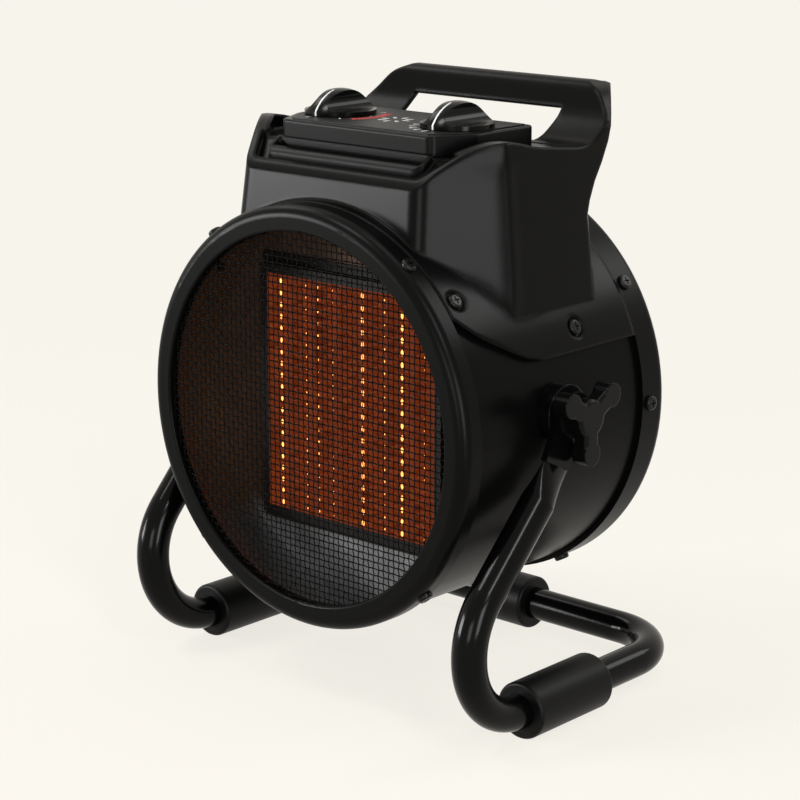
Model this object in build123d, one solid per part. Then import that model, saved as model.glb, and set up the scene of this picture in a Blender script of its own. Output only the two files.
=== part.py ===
"""Round PTC fan heater on a bent tube stand.

Millimetres, +Z up, +Y to the rear, +X to the right for someone facing the front mesh.
The drawing frame has Y = 0 at the front ring's face and Z = 0 on the drum's axis.
Each piece is then moved so that the origin lies on the floor, at the middle of the outline.
"""
from build123d import *
import os
from math import atan2, cos, hypot, pi, radians, sin, sqrt, tan

os.makedirs("parts", exist_ok=True)

# ---------------------------------------------------------------- clearances
FIT = 0.1            # between fixed pieces that fit round each other
RUN = 0.05           # radial running clearance of shafts and pins
GAP = 0.4            # between curved faces of bodies that move past each other

# ---------------------------------------------------------------- drum and hoops
DRUM_R = 87.7
DRUM_WALL = 1.2
DEPTH = 134.0        # front ring's face to rear ring's face
HOOP_WALL = 2.0
HOOP_EDGE = 5.0      # radius of the rolled outer edge
HOOP_LIP_W = 10.8                # ring's face, from its outside to the opening
FRONT_HOOP_W = 11.0
REAR_HOOP_W = 17.0
MESH_T = 1.0
MESH_PITCH = 11.0
MESH_WIRE = 1.6
GRILLE_T = 1.2
GRILLE_RINGS = 5
GRILLE_HUB_R = 14.0
GRILLE_BRIDGE = 4.0
GRILLE_SECTORS = 8

# ---------------------------------------------------------------- screws
SCREW_R = 1.7
SCREW_HEAD_R = 3.3
SCREW_HEAD_H = 1.9
SCREW_LEN = 6.0
FRONT_SCREW_ANGLES = (37.4, 135.0)       # from the top, on both sides
FRONT_SCREW_Y = 6.9
REAR_SCREW_ANGLES = (56.0, 90.0, 151.0)
REAR_SCREW_INSET = 12.0                  # from the rear face
SADDLE_SCREWS = ((50.1, 18.5), (64.4, 80.2))   # angle from the top, Y
RECESS_R = 4.6
RECESS_DEPTH = 1.3

# ---------------------------------------------------------------- heating element
PTC_Y = 30.0         # front of the fins
PTC_DEPTH = 15.0
PTC_W = 96.0
PTC_H = 104.0
PTC_FRAME_T = 4.0
PTC_FLANGE = 4.0
PTC_FLANGE_T = 1.5
PTC_TAIL = 7.0       # frame behind the fins
PTC_BARS = 6
PTC_BAR_W = 3.6
FIN_T = 0.5
FIN_TURNS = 20
BAFFLE_Y = 37.0
BAFFLE_T = 1.0
BAFFLE_RIM = 9.0
CUTOUT_R = 6.5
CUTOUT_H = 5.0
CUTOUT_TAG = 12.0

# ---------------------------------------------------------------- fan and motor
SHAFT_R = 2.5
FAN_R = 72.0
FAN_HUB_R = 14.0
FAN_HUB_L = 16.0
FAN_INSET = 68.0     # front of the hub, from the rear face
FAN_BLADES = 5
BLADE_T = 1.6
BLADE_PITCH = 32.0
MOTOR_R = 27.0
MOTOR_L = 30.0
MOTOR_BOSS_R = 9.0
MOTOR_BOSS_L = 3.0
BRACKET_INSET = 42.0             # bracket's front, from the rear face
BRACKET_T = 2.0
BRACKET_W = 14.0
BRACKET_TAB = 12.0
BRACKET_ARMS = 3
NUT_R = 4.5
NUT_H = 4.0

# ---------------------------------------------------------------- saddle housing
# Heights (H) start at the drum's crown; insets in X start at the drum's radius.
# Steps (BACK) in Y start at the housing's rear wall.
DRAFT = 6.5
BASE_H = -44.7                  # height at which the plan is drawn
FRONT_CORNER = (35.7, 12.0)     # corner of front face and flared side: X inset, Y
FLARE_CORNER = (10.5, 46.0)     # corner of flared and straight side: X inset, Y
CORNER_R = 9.0
FLARE_R = 42.0
BACK_CORNER_R = 8.0             # where the side turns into the slanted rear corner
BACK_EDGE_R = 4.0
BACK_SLANT = 0.76               # X lost per Y on that corner
BACK_LEVELS = (                 # H, start of the slanted corner (BACK), rear face (BACK)
    (-60.0, -8.0, 0.0), (-5.7, -8.0, 0.0), (0.3, -5.7, 1.2), (7.8, -1.4, 4.6), (15.3, 4.4, 10.2),
    (23.3, 9.6, 16.2), (29.3, 12.2, 21.0), (34.3, 13.0, 25.6), (40.3, 13.5, 29.5), (47.0, 13.8, 31.0),
)
BACK_INSET = 28.0               # rear wall, from the rear ring's face
HOUSING_WALL = 2.6
SKIRT_T = 2.3
SKIRT_EDGE = ((11.4, 53.6), (22.0, 60.2), (34.0, 64.9), (46.0, 68.9), (58.0, 70.1))   # Y, angle from the top
SHOULDER = (18.4, 11.5)         # front top edge: Y, H
SHOULDER_ROUND = 3.0
RIM_LINE = ((19.8, 12.9), (28.4, 20.2), (38.4, 26.2), (49.6, 29.2), (64.8, 26.5), (77.0, 24.5))    # Y, H
ARM_LINE = (
    (-17.0, 23.2), (-5.0, 22.9), (0.2, 24.5), (4.9, 27.4), (9.8, 31.1), (12.8, 34.9), (15.3, 40.1),
    (16.9, 43.2),
)                               # front of the handle: BACK, H
CROWN_LINE = ((19.6, 45.6), (23.5, 46.4), (28.0, 45.4), (31.5, 41.5))                              # BACK, H
TRAY_H = 22.3
TRAY_RIM = 6.0
TRAY_BACK = -12.0
TRAY_ROUND = 4.0
TRAY_FRONT_Y = 33.8
FRONT_RIM = 3.6                 # width of the rim along the front
MOAT_FLOOR = ((22.0, 11.2), (36.0, 21.7))      # recess between front rim and plinth: Y, H
PLINTH_INSET = 44.2
PLINTH_FRONT_Y = 25.3
PLINTH_CHAMFER = 3.0
GULLEY_Y = (28.6, 33.0)         # recess in the plinth, in front of the panel's wall
GULLEY_H = 17.9
GRIP_HALF = 42.0                # half the finger gap
GRIP_UNDER_H = 34.0
GRIP_FRONT = 13.0               # BACK
GRIP_EDGE_R = 1.5
ARM_LEAN_RUN = 1.25             # Y gained per Z by the front of the arms
ARM_SKIN = 3.0                  # depth of the finger gap's straight wall, before it flares
ARM_FLARE = 0.9                 # X gained per Y behind that
ARM_REAR_HALF = 56.0            # half the finger gap where the flare ends
CROWN_CORNERS = (
    (19.3, 29.6), (20.3, 32.1), (23.6, 36.1), (26.9, 40.1), (30.8, 43.3), (35.8, 45.4), (43.7, 46.7),
)                               # outline of the handle's upper corner: X inset, H

# ---------------------------------------------------------------- control panel
PANEL_FRONT_INSET = 46.0
PANEL_INSET = 36.7
PANEL_FRONT_Y = 34.0
PANEL_BACK = -16.0
PANEL_FLARE_Y = 52.0
PANEL_H = 8.5                   # above the tray
PANEL_WALL = 2.4
PANEL_CORNER = 4.0
OVERLAY_T = 0.5
OVERLAY_MARGIN = 3.0
KNOB_INSET = 54.7
KNOB_Y = 61.0
KNOB_R = 15.5
KNOB_H = 10.6
KNOB_DISC_H = 1.8
KNOB_FIN_W = 7.4
KNOB_SCOOP_R = 5.4
KNOB_BORE_DEPTH = 6.0
SPINDLE_R = 3.0
SPINDLE_IN = 8.0
SWITCH_SIZE = (26.0, 26.0, 18.0)
THERMOSTAT_R = 13.5
THERMOSTAT_H = 14.0

# ---------------------------------------------------------------- stand
TUBE_R = 7.25
TUBE_WALL = 1.2
FOOT_OUT = 4.4                  # foot tubes' centre line, beyond the drum's side
FOOT_DROP = 25.8                # foot tubes' centre line, below the drum
REAR_BAR_OUT = 8.6              # rear bar's centre line, behind the rear face
FRONT_BEND_R = 33.0
ARM_LEAN = 43.5                 # lean of the arms from the vertical, degrees
ARM_SPLAY = 1.5                 # outward lean of the arms, degrees
REAR_BEND_R = 30.0
FOOT_FRONT_Y = 0.2              # foremost centre line of the front bends
EYE_LEN = 38.0                  # from the tube's end to the pivot
SQUEEZE_LEN = 17.0
PLATE_T = 3.0
PLATE_HALF = 8.5
SLEEVE_R = 12.2
SLEEVE_FLAT = 0.3
SLEEVE_LEN = 48.0
SLEEVE_START = 33.5
REAR_SLEEVE_LEN = 25.0
SLEEVE_ROUND = 1.5

# ---------------------------------------------------------------- tilt pivot
PIVOT_Y = 60.0
PIVOT_Z = 8.0
STUD_R = 3.9
STUD_HEAD_R = 8.0
STUD_HEAD_T = 2.5
BOSS_R = 12.0
WASHER_R = 9.5
WASHER_T = 1.2
KNOB3_HUB_R = 8.0
KNOB3_REACH = 20.0
KNOB3_LOBE_R = 5.0
KNOB3_T = 7.0
KNOB3_COLLAR_R = 7.6
KNOB3_COLLAR_T = 1.5
KNOB3_BORE = 5.5
SEAT_GAP = 0.2       # between flat faces that turn on each other

# ---------------------------------------------------------------- cable inlet
GLAND_H = 10.6
GLAND_BORE_R = 4.0
GLAND_LIP = 1.4
GLAND_BODY_R = 6.5
GLAND_FLANGE_R = 8.0
GLAND_FLANGE_T = 2.0
GLAND_OUT = 11.0
GLAND_IN = 6.0
GLAND_NUT_T = 4.0
WIRING_HOLE_R = 9.0
WIRING_HOLE_BACK = -22.0
TERMINAL_SIZE = (34.0, 16.0, 12.0)
TERMINAL_PITCH = 10.0
TERMINAL_HOLE_R = 1.8

# ---------------------------------------------------------------- derived values
HOOP_R = DRUM_R + FIT + HOOP_WALL
HOOP_OPENING_R = HOOP_R - HOOP_LIP_W
DRUM_IN_R = DRUM_R - DRUM_WALL
DRUM_Y0 = HOOP_EDGE
DRUM_Y1 = DEPTH - HOOP_EDGE
SCREEN_R = HOOP_R - HOOP_EDGE - FIT                                  # lies on the lip's flat part
ROLL_IN_R = HOOP_EDGE - HOOP_WALL
RIM_R = HOOP_R - HOOP_EDGE - FIT + sqrt(ROLL_IN_R**2 - (ROLL_IN_R - MESH_T) ** 2)
BRACKET_Y = DEPTH - BRACKET_INSET
FAN_Y = DEPTH - FAN_INSET
BASE_Z = DRUM_R + BASE_H
SHOULDER_Z = DRUM_R + SHOULDER[1]
TRAY_Z = DRUM_R + TRAY_H
GULLEY_FLOOR_Z = DRUM_R + GULLEY_H
GRIP_UNDER_Z = DRUM_R + GRIP_UNDER_H
PANEL_TOP_Z = TRAY_Z + PANEL_H
PANEL_HALF = DRUM_R - PANEL_INSET
PANEL_FRONT_HALF = DRUM_R - PANEL_FRONT_INSET
PLINTH_HALF = DRUM_R - PLINTH_INSET
KNOB_X = DRUM_R - KNOB_INSET
HOUSING_BACK_Y = DEPTH - BACK_INSET
TRAY_BACK_Y = HOUSING_BACK_Y + TRAY_BACK
PANEL_BACK_Y = HOUSING_BACK_Y + PANEL_BACK
GRIP_FRONT_Y = HOUSING_BACK_Y + GRIP_FRONT
WIRING_HOLE_Y = HOUSING_BACK_Y + WIRING_HOLE_BACK
GLAND_Z = DRUM_R + GLAND_H
SKIRT_IN_R = DRUM_R + FIT
SKIRT_R = SKIRT_IN_R + SKIRT_T
FOOT_X = DRUM_R + FOOT_OUT
AXLE_DROP = DRUM_R + FOOT_DROP
REAR_BAR_Y = DEPTH + REAR_BAR_OUT
FLOOR = -AXLE_DROP - SLEEVE_R + SLEEVE_FLAT
FRONTMOST = min(0.0, FOOT_FRONT_Y - TUBE_R)
REARMOST = REAR_BAR_Y + SLEEVE_R
TO_ORIGIN = Location((0, -(FRONTMOST + REARMOST) / 2, -FLOOR))
ARM_X = FOOT_X + (AXLE_DROP + PIVOT_Z) * tan(radians(ARM_SPLAY))    # middle of the flattened ends
ARM_PLANE = Plane(
    origin=(FOOT_X, 0, -AXLE_DROP),
    x_dir=(0, 1, 0),
    z_dir=(cos(radians(ARM_SPLAY)), 0, -sin(radians(ARM_SPLAY))),
)
BIG = 400.0

parts = {}


def add(name, shape):
    """Move a piece from the drawing frame to the part's origin and keep it."""
    shape = TO_ORIGIN * shape
    shape.label = name
    parts[name] = shape


def about_y(points_face):
    """Revolve a face drawn as (radius, Y) on the XY plane about the drum's axis."""
    return revolve(points_face, Axis.Y, 360)


def y_cyl(radius, y0, y1, x=0.0, z=0.0):
    """Cylinder along Y from y0 to y1."""
    return Pos(x, (y0 + y1) / 2, z) * Rot(90, 0, 0) * Cylinder(radius, y1 - y0)


def x_cyl(radius, x0, x1, y=0.0, z=0.0):
    """Cylinder along X from x0 to x1."""
    return Pos((x0 + x1) / 2, y, z) * Rot(0, 90, 0) * Cylinder(radius, abs(x1 - x0))


def block(x, y, z):
    """Box between two limits on each axis."""
    centre = [(limits[0] + limits[1]) / 2 for limits in (x, y, z)]
    size = [limits[1] - limits[0] for limits in (x, y, z)]
    return Pos(*centre) * Box(*size)


def radial(angle, y, radius):
    """Frame on the drum: its Z axis points outward at an angle from the top."""
    a = radians(angle)
    return Plane(
        origin=(radius * sin(a), y, radius * cos(a)), x_dir=(0, 1, 0), z_dir=(sin(a), 0, cos(a))
    )


def side_prism(face, half):
    """Extrude a face drawn on the YZ plane to both sides of the middle."""
    return extrude(face, half, both=True)


def mirrored(shape):
    return mirror(shape, about=Plane.YZ)


# ================================================================ hoops, drum, screws
def hoop(width):
    """Rolled ring that closes one end of the drum; its face lies at Y = 0."""
    with BuildSketch() as profile:
        with BuildLine():
            lip = Polyline(
                (HOOP_R - HOOP_EDGE, HOOP_WALL), (HOOP_OPENING_R, HOOP_WALL), (HOOP_OPENING_R, HOOP_WALL / 2)
            )
            bead = ThreePointArc(
                lip @ 1,
                (HOOP_OPENING_R + HOOP_WALL / 2 * (1 - cos(pi / 4)), HOOP_WALL / 2 * (1 - sin(pi / 4))),
                (HOOP_OPENING_R + HOOP_WALL / 2, 0),
            )
            face = Line(bead @ 1, (HOOP_R - HOOP_EDGE, 0))
            roll = RadiusArc(face @ 1, (HOOP_R, HOOP_EDGE), -HOOP_EDGE)
            inside = HOOP_R - HOOP_WALL
            band = Polyline(roll @ 1, (HOOP_R, width), (inside, width), (inside, HOOP_EDGE))
            RadiusArc(band @ 1, (HOOP_R - HOOP_EDGE, HOOP_WALL), ROLL_IN_R)
        make_face()
    return about_y(profile.sketch)


def screw_hole(frame, depth):
    """Clearance hole that crosses a wall under a radial screw."""
    return frame * Cylinder(SCREW_R + FIT, 2 * depth)


def well(frame, radius, depth):
    """Round pocket above a radial screw's seat."""
    return frame * Cylinder(radius, depth, align=(Align.CENTER, Align.CENTER, Align.MIN))


def pan_screw(frame):
    """Pan-head screw whose head rests on the frame's plane."""
    head = Cylinder(SCREW_HEAD_R, SCREW_HEAD_H, align=(Align.CENTER, Align.CENTER, Align.MIN))
    head = fillet(head.edges().group_by(Axis.Z)[-1], SCREW_HEAD_H * 0.6)
    shank = Pos(0, 0, -SCREW_LEN / 2) * Cylinder(SCREW_R, SCREW_LEN)
    drive = Pos(0, 0, SCREW_HEAD_H) * (Box(SCREW_HEAD_R, 0.7, 1.4) + Box(0.7, SCREW_HEAD_R, 1.4))
    return frame * (head + shank - drive)


def seat_depth(width):
    """Drop from a round surface's crown to a flat spot face as wide as the screw head."""
    return HOOP_R - sqrt(HOOP_R**2 - width**2)


def screw_frames(places, radius):
    """Name and frame of each screw seat, for (angle, Y) places on both sides."""
    return {
        f"{name}_{angle:.0f}": radial(side * angle, y, radius)
        for angle, y in places
        for side, name in ((1, "right"), (-1, "left"))
    }


HOOP_SEAT_R = HOOP_R - seat_depth(SCREW_HEAD_R + FIT)
FRONT_SEATS = screw_frames([(a, FRONT_SCREW_Y) for a in FRONT_SCREW_ANGLES], HOOP_SEAT_R)
REAR_SEATS = screw_frames([(a, DEPTH - REAR_SCREW_INSET) for a in REAR_SCREW_ANGLES], HOOP_SEAT_R)
SADDLE_SEATS = screw_frames(SADDLE_SCREWS, SKIRT_R - RECESS_DEPTH)


def with_spot_faces(ring, seats):
    """Hoop with a flat seat and a hole under each of its screws."""
    for frame in seats.values():
        ring -= well(frame, SCREW_HEAD_R + FIT, 2 * SCREW_HEAD_H)
        ring -= screw_hole(frame, HOOP_WALL + FIT)
    return ring


def make_hoops():
    add("front_hoop", with_spot_faces(hoop(FRONT_HOOP_W), FRONT_SEATS))
    rear = mirror(hoop(REAR_HOOP_W), about=Plane.XZ)
    add("rear_hoop", with_spot_faces(Pos(0, DEPTH, 0) * rear, REAR_SEATS))


def make_screws():
    for place, seats in (("front_hoop", FRONT_SEATS), ("rear_hoop", REAR_SEATS), ("saddle", SADDLE_SEATS)):
        for name, frame in seats.items():
            add(f"{place}_screw_{name}", pan_screw(frame))


def make_front_mesh():
    """Flat wire cloth, drawn with wide meshes, and the ring that clamps it to the front lip."""
    strips = int(HOOP_OPENING_R / MESH_PITCH)
    cloth = Circle(SCREEN_R) - Circle(HOOP_OPENING_R - MESH_WIRE)
    for i in range(-strips, strips + 1):
        across = Pos(i * MESH_PITCH, 0) * Rectangle(MESH_WIRE, 2 * SCREEN_R)
        along = Pos(0, i * MESH_PITCH) * Rectangle(2 * SCREEN_R, MESH_WIRE)
        cloth += (across + along) & Circle(SCREEN_R)
    add("front_mesh", Pos(0, HOOP_WALL, 0) * Rot(-90, 0, 0) * extrude(cloth, MESH_T))
    ring_y = HOOP_WALL + MESH_T
    ring = y_cyl(RIM_R, ring_y, DRUM_Y0) - y_cyl(HOOP_OPENING_R, 0, BIG)
    add("mesh_ring", ring)


def make_rear_grille():
    """Pressed guard with rings of curved air slots between solid bridges and a raised rim."""
    face = Circle(SCREEN_R)
    pitch = (HOOP_OPENING_R - GRILLE_HUB_R) / GRILLE_RINGS
    for ring in range(GRILLE_RINGS):
        inner = GRILLE_HUB_R + ring * pitch
        outer = inner + pitch - GRILLE_BRIDGE
        ribs = [
            Rot(0, 0, sector * 360 / GRILLE_SECTORS) * Pos(outer / 2, 0) * Rectangle(outer + 2, GRILLE_BRIDGE)
            for sector in range(GRILLE_SECTORS)
        ]
        face -= Circle(outer) - Circle(inner) - ribs
    back = DEPTH - HOOP_WALL
    grille = Pos(0, back - GRILLE_T, 0) * Rot(-90, 0, 0) * extrude(face, GRILLE_T)
    grille += y_cyl(RIM_R, DRUM_Y1, back - GRILLE_T) - y_cyl(HOOP_OPENING_R, 0, BIG)
    add("rear_grille", grille)


def make_drum():
    """Rolled steel tube with the holes for screws, pivot studs and wiring."""
    drum = y_cyl(DRUM_R, DRUM_Y0, DRUM_Y1) - y_cyl(DRUM_IN_R, DRUM_Y0 - 1, DRUM_Y1 + 1)
    for seats in (FRONT_SEATS, REAR_SEATS, SADDLE_SEATS):
        for frame in seats.values():
            drum -= screw_hole(frame, SCREW_LEN + FIT)
    drum -= x_cyl(STUD_R + FIT, -BIG, BIG, PIVOT_Y, PIVOT_Z)
    drum -= Pos(0, WIRING_HOLE_Y, DRUM_R) * Cylinder(WIRING_HOLE_R, 12)
    add("drum_shell", drum)


# ================================================================ heating element
def make_ptc():
    """Ceramic heating block: bars, folded fins between them and a moulded frame."""
    back = PTC_Y + PTC_DEPTH
    half_w, half_h = PTC_W / 2, PTC_H / 2
    column_w = (PTC_W - PTC_BARS * PTC_BAR_W) / (PTC_BARS + 1)
    pitch = column_w + PTC_BAR_W

    bars = [
        Pos(-half_w + column_w + PTC_BAR_W / 2 + i * pitch, 0, 0)
        * block((-PTC_BAR_W / 2, PTC_BAR_W / 2), (PTC_Y, back), (-half_h, half_h))
        for i in range(PTC_BARS)
    ]
    add("ptc_bars", Compound(children=bars))

    step = PTC_H / (2 * FIN_TURNS)
    shift = FIN_T * sqrt(1 + (column_w / step) ** 2) / 2
    reach = column_w / 2 - shift
    fins = []
    for i in range(PTC_BARS + 1):
        zigzag = [((-reach if k % 2 else reach), -half_h + k * step) for k in range(2 * FIN_TURNS + 1)]
        near = [(x - shift, z) for x, z in zigzag]
        far = [(x + shift, z) for x, z in reversed(zigzag)]
        ribbon = Plane.XZ * make_face(Polyline(*near, *far, close=True))
        x = -half_w + column_w / 2 + i * pitch
        fins.append(Pos(x, PTC_Y, 0) * extrude(ribbon, -PTC_DEPTH))
    add("ptc_fins", Compound(children=fins))

    outer = (half_w + PTC_FRAME_T, half_h + PTC_FRAME_T)
    front = PTC_Y - FIT
    tail = back + PTC_TAIL
    frame = block((-outer[0], outer[0]), (front, tail), (-outer[1], outer[1]))
    lip = (outer[0] + PTC_FLANGE, outer[1] + PTC_FLANGE)
    flange_y = (BAFFLE_Y - PTC_FLANGE_T, BAFFLE_Y)
    frame += block((-lip[0], lip[0]), flange_y, (-lip[1], lip[1]))
    frame -= block((-half_w - FIT, half_w + FIT), (front - 1, tail + 1), (-half_h - FIT, half_h + FIT))
    add("ptc_frame", frame)

    baffle = y_cyl(DRUM_IN_R - FIT, BAFFLE_Y, BAFFLE_Y + BAFFLE_RIM)
    baffle -= y_cyl(DRUM_IN_R - FIT - BAFFLE_T, BAFFLE_Y + BAFFLE_T, BAFFLE_Y + BAFFLE_RIM + 1)
    baffle -= block(
        (-outer[0] - FIT, outer[0] + FIT), (BAFFLE_Y - 1, BAFFLE_Y + 2), (-outer[1] - FIT, outer[1] + FIT)
    )
    add("baffle_plate", baffle)

    seat = Pos(0, tail - CUTOUT_R, outer[1])
    cutout = seat * Pos(0, 0, CUTOUT_H / 2) * Cylinder(CUTOUT_R, CUTOUT_H)
    cutout += seat * Pos(0, 0, CUTOUT_H) * Cylinder(CUTOUT_R - 2, CUTOUT_H)
    tags = seat * Pos(0, 0, CUTOUT_H / 2) * Box(2 * CUTOUT_R + CUTOUT_TAG, CUTOUT_R, 0.8)
    add("thermal_cutout", cutout + tags)


# ================================================================ fan and motor
def fan_blade():
    """Twisted blade: two thin sections, steeper at the root, joined by a ruled loft."""
    sections = []
    for radius, chord, pitch in ((FAN_HUB_R - 1, 17.0, BLADE_PITCH + 14), (FAN_R, 44.0, BLADE_PITCH - 8)):
        plane = Plane(origin=(0, FAN_Y + FAN_HUB_L / 2, radius), x_dir=(1, 0, 0), z_dir=(0, 0, 1))
        limit = min(chord, (FAN_HUB_L - 2) / sin(radians(pitch)))
        sections.append(plane * Rot(0, 0, pitch) * Rectangle(limit, BLADE_T))
    blade = loft(sections, ruled=True)
    return blade & y_cyl(FAN_R, FAN_Y, FAN_Y + FAN_HUB_L)


def make_fan():
    bracket_back = BRACKET_Y + BRACKET_T
    motor = y_cyl(MOTOR_R, bracket_back, bracket_back + MOTOR_L)
    motor = fillet(motor.edges().filter_by(GeomType.CIRCLE), 3)
    boss_y = BRACKET_Y - MOTOR_BOSS_L
    motor += y_cyl(MOTOR_BOSS_R, boss_y, bracket_back + 1)
    motor -= y_cyl(SHAFT_R + RUN, boss_y - 1, bracket_back + MOTOR_L - 4)
    add("fan_motor", motor)

    arm_reach = DRUM_IN_R - FIT
    bracket = y_cyl(MOTOR_R, BRACKET_Y, bracket_back)
    for i in range(BRACKET_ARMS):
        turn = Rot(0, i * 360 / BRACKET_ARMS, 0)
        half_arm = BRACKET_W / 2
        bracket += turn * block((-half_arm, half_arm), (BRACKET_Y, bracket_back), (0, arm_reach))
        tab = block((-half_arm, half_arm), (BRACKET_Y, BRACKET_Y + BRACKET_TAB), (0, arm_reach))
        bracket += turn * (tab - y_cyl(arm_reach - BRACKET_T, BRACKET_Y - 1, BRACKET_Y + BRACKET_TAB + 1))
    bracket &= y_cyl(arm_reach, BRACKET_Y, BRACKET_Y + BRACKET_TAB)
    bracket -= y_cyl(MOTOR_BOSS_R + FIT, BRACKET_Y - 1, bracket_back + 1)
    add("motor_bracket", bracket)

    add("motor_shaft", y_cyl(SHAFT_R, FAN_Y - NUT_H - 1, bracket_back + MOTOR_L - 5))

    hub = y_cyl(FAN_HUB_R, FAN_Y, FAN_Y + FAN_HUB_L)
    hub = fillet(hub.edges().filter_by(GeomType.CIRCLE).sort_by(Axis.Y)[0], 3)
    for i in range(FAN_BLADES):
        hub += Rot(0, i * 360 / FAN_BLADES, 0) * fan_blade()
    hub -= y_cyl(SHAFT_R + RUN, FAN_Y - 1, FAN_Y + FAN_HUB_L + 1)
    add("fan_impeller", hub)

    nut = extrude(RegularPolygon(NUT_R, 6), NUT_H / 2, both=True)
    nut = Pos(0, FAN_Y - NUT_H / 2, 0) * Rot(90, 0, 0) * nut
    add("impeller_nut", nut - y_cyl(SHAFT_R + RUN, FAN_Y - NUT_H - 1, FAN_Y + 1))


# ================================================================ saddle housing
def plan_face(level, inset):
    """Outline of the housing at one height: flat front, flared shoulders, slanted rear corners."""
    height, slant_start, back = level
    lean = (height - BASE_H) * tan(radians(DRAFT)) + inset
    flare = atan2(FLARE_CORNER[1] - FRONT_CORNER[1], FRONT_CORNER[0] - FLARE_CORNER[0])
    front_y = FRONT_CORNER[1] + lean
    side_x = DRUM_R - FLARE_CORNER[0] - lean
    # the flared face moves inward along its own normal
    start = (DRUM_R - FRONT_CORNER[0] - lean * sin(flare), FRONT_CORNER[1] + lean * cos(flare))
    corner_x = start[0] + (front_y - start[1]) / tan(flare)
    knee_y = start[1] + (side_x - start[0]) * tan(flare)
    right = [
        (corner_x, front_y), (side_x, knee_y), (side_x, HOUSING_BACK_Y + slant_start),
        (side_x - BACK_SLANT * (back - slant_start), HOUSING_BACK_Y + back),
    ]
    radii = (CORNER_R - inset, FLARE_R - inset, BACK_CORNER_R, BACK_EDGE_R)
    with BuildSketch(Plane.XY.offset(DRUM_R + height)) as plan:
        with BuildLine():
            Polyline(*right, *[(-x, y) for x, y in reversed(right)], close=True)
        make_face()
        for corners, radius in zip(plan.vertices().group_by(Axis.Y), radii):
            fillet(corners, radius)
    return plan.sketch.face()


def housing_body(inset):
    """Drafted body inside the housing's outline, without its top."""
    return loft([plan_face(level, inset) for level in BACK_LEVELS], ruled=True)


def at_height(points, y0=0.0):
    """Points given as (Y step, height over the drum's crown), in the drawing frame."""
    return [(y0 + y, DRUM_R + height) for y, height in points]


def rim_profile():
    """Side view of what lies under the housing's top: shoulder, rim, leaning handle and crown."""
    shoulder = (SHOULDER[0] - SHOULDER_ROUND / 2, SHOULDER_Z - SHOULDER_ROUND)
    with BuildSketch(Plane.YZ) as side:
        with BuildLine():
            front = Polyline((0, 0), (0, SHOULDER_Z - 2 * SHOULDER_ROUND), shoulder)
            top = Spline(front @ 1, *at_height(RIM_LINE), *at_height(ARM_LINE, HOUSING_BACK_Y))
            crown = Spline(top @ 1, *at_height(CROWN_LINE, HOUSING_BACK_Y), tangents=(top % 1, (0.2, -1)))
            Polyline(crown @ 1, (BIG, (crown @ 1).Y), (BIG, 0), (0, 0))
        make_face()
    return side.sketch


def handle_front_view():
    """Front view that rounds the handle's upper corners."""
    corners = [(DRUM_R - inset, DRUM_R + height) for inset, height in CROWN_CORNERS]
    rim_top = max(height for _, height in RIM_LINE) + FIT
    with BuildSketch(Plane.XZ) as view:
        with BuildLine():
            right = Spline(*corners, tangents=((-0.1, 1), (-1, 0.05)))
            mirror(right, about=Plane.YZ)
            Line(right @ 1, (-(right @ 1).X, (right @ 1).Y))
            outside = Polyline(right @ 0, (BIG, DRUM_R + rim_top), (BIG, 0), (0, 0))
            mirror(outside, about=Plane.YZ)
        make_face()
    return view.sketch


def finger_gap():
    """Side view of the space between the arms: over the tray's back and under the grip."""
    front_y = TRAY_BACK_Y + 1
    grip = (GRIP_FRONT_Y, GRIP_UNDER_Z + GRIP_EDGE_R)
    with BuildSketch(Plane.YZ) as gap:
        with BuildLine():
            over = Polyline((front_y, TRAY_Z), (front_y, grip[1] + TRAY_ROUND), grip)
            under = RadiusArc(over @ 1, (grip[0] + GRIP_EDGE_R, GRIP_UNDER_Z), -GRIP_EDGE_R)
            back = Polyline(
                under @ 1, (BIG, GRIP_UNDER_Z), (BIG, 0), (HOUSING_BACK_Y, 0),
                (HOUSING_BACK_Y, TRAY_Z - TRAY_ROUND),
            )
            edge = RadiusArc(back @ 1, (HOUSING_BACK_Y - TRAY_ROUND, TRAY_Z), -TRAY_ROUND)
            Line(edge @ 1, (front_y, TRAY_Z))
        make_face()
    return gap.sketch


def arm_flare():
    """Space that widens the finger gap towards the rear, so the arms keep a wedge section."""
    run = (ARM_REAR_HALF - GRIP_HALF) / ARM_FLARE
    sections = []
    for z in (TRAY_Z, GRIP_UNDER_Z):
        start_y = GRIP_FRONT_Y - (GRIP_UNDER_Z - z) * ARM_LEAN_RUN + ARM_SKIN
        right = [(GRIP_HALF, start_y), (ARM_REAR_HALF, start_y + run), (ARM_REAR_HALF, BIG)]
        outline = Polyline(*right, *[(-x, y) for x, y in reversed(right)], close=True)
        sections.append(Pos(0, 0, z) * make_face(outline))
    return loft(sections, ruled=True) & block((-BIG, BIG), (HOUSING_BACK_Y, BIG), (0, BIG))


def front_moat():
    """Recess inside the front rim, round the plinth that carries the panel's front wall."""
    (y0, z0), (y1, z1) = at_height(MOAT_FLOOR)
    side = Plane.YZ * make_face(Polyline((y0, z0), (y1, z1), (y1, BIG), (y0, BIG), close=True))
    plinth = block((-PLINTH_HALF, PLINTH_HALF), (PLINTH_FRONT_Y, y1 + 1), (0, BIG))
    plinth = chamfer(plinth.edges().filter_by(Axis.Z).group_by(Axis.Y)[0], PLINTH_CHAMFER)
    return (housing_body(FRONT_RIM) & side_prism(side, BIG)) - plinth


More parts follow.
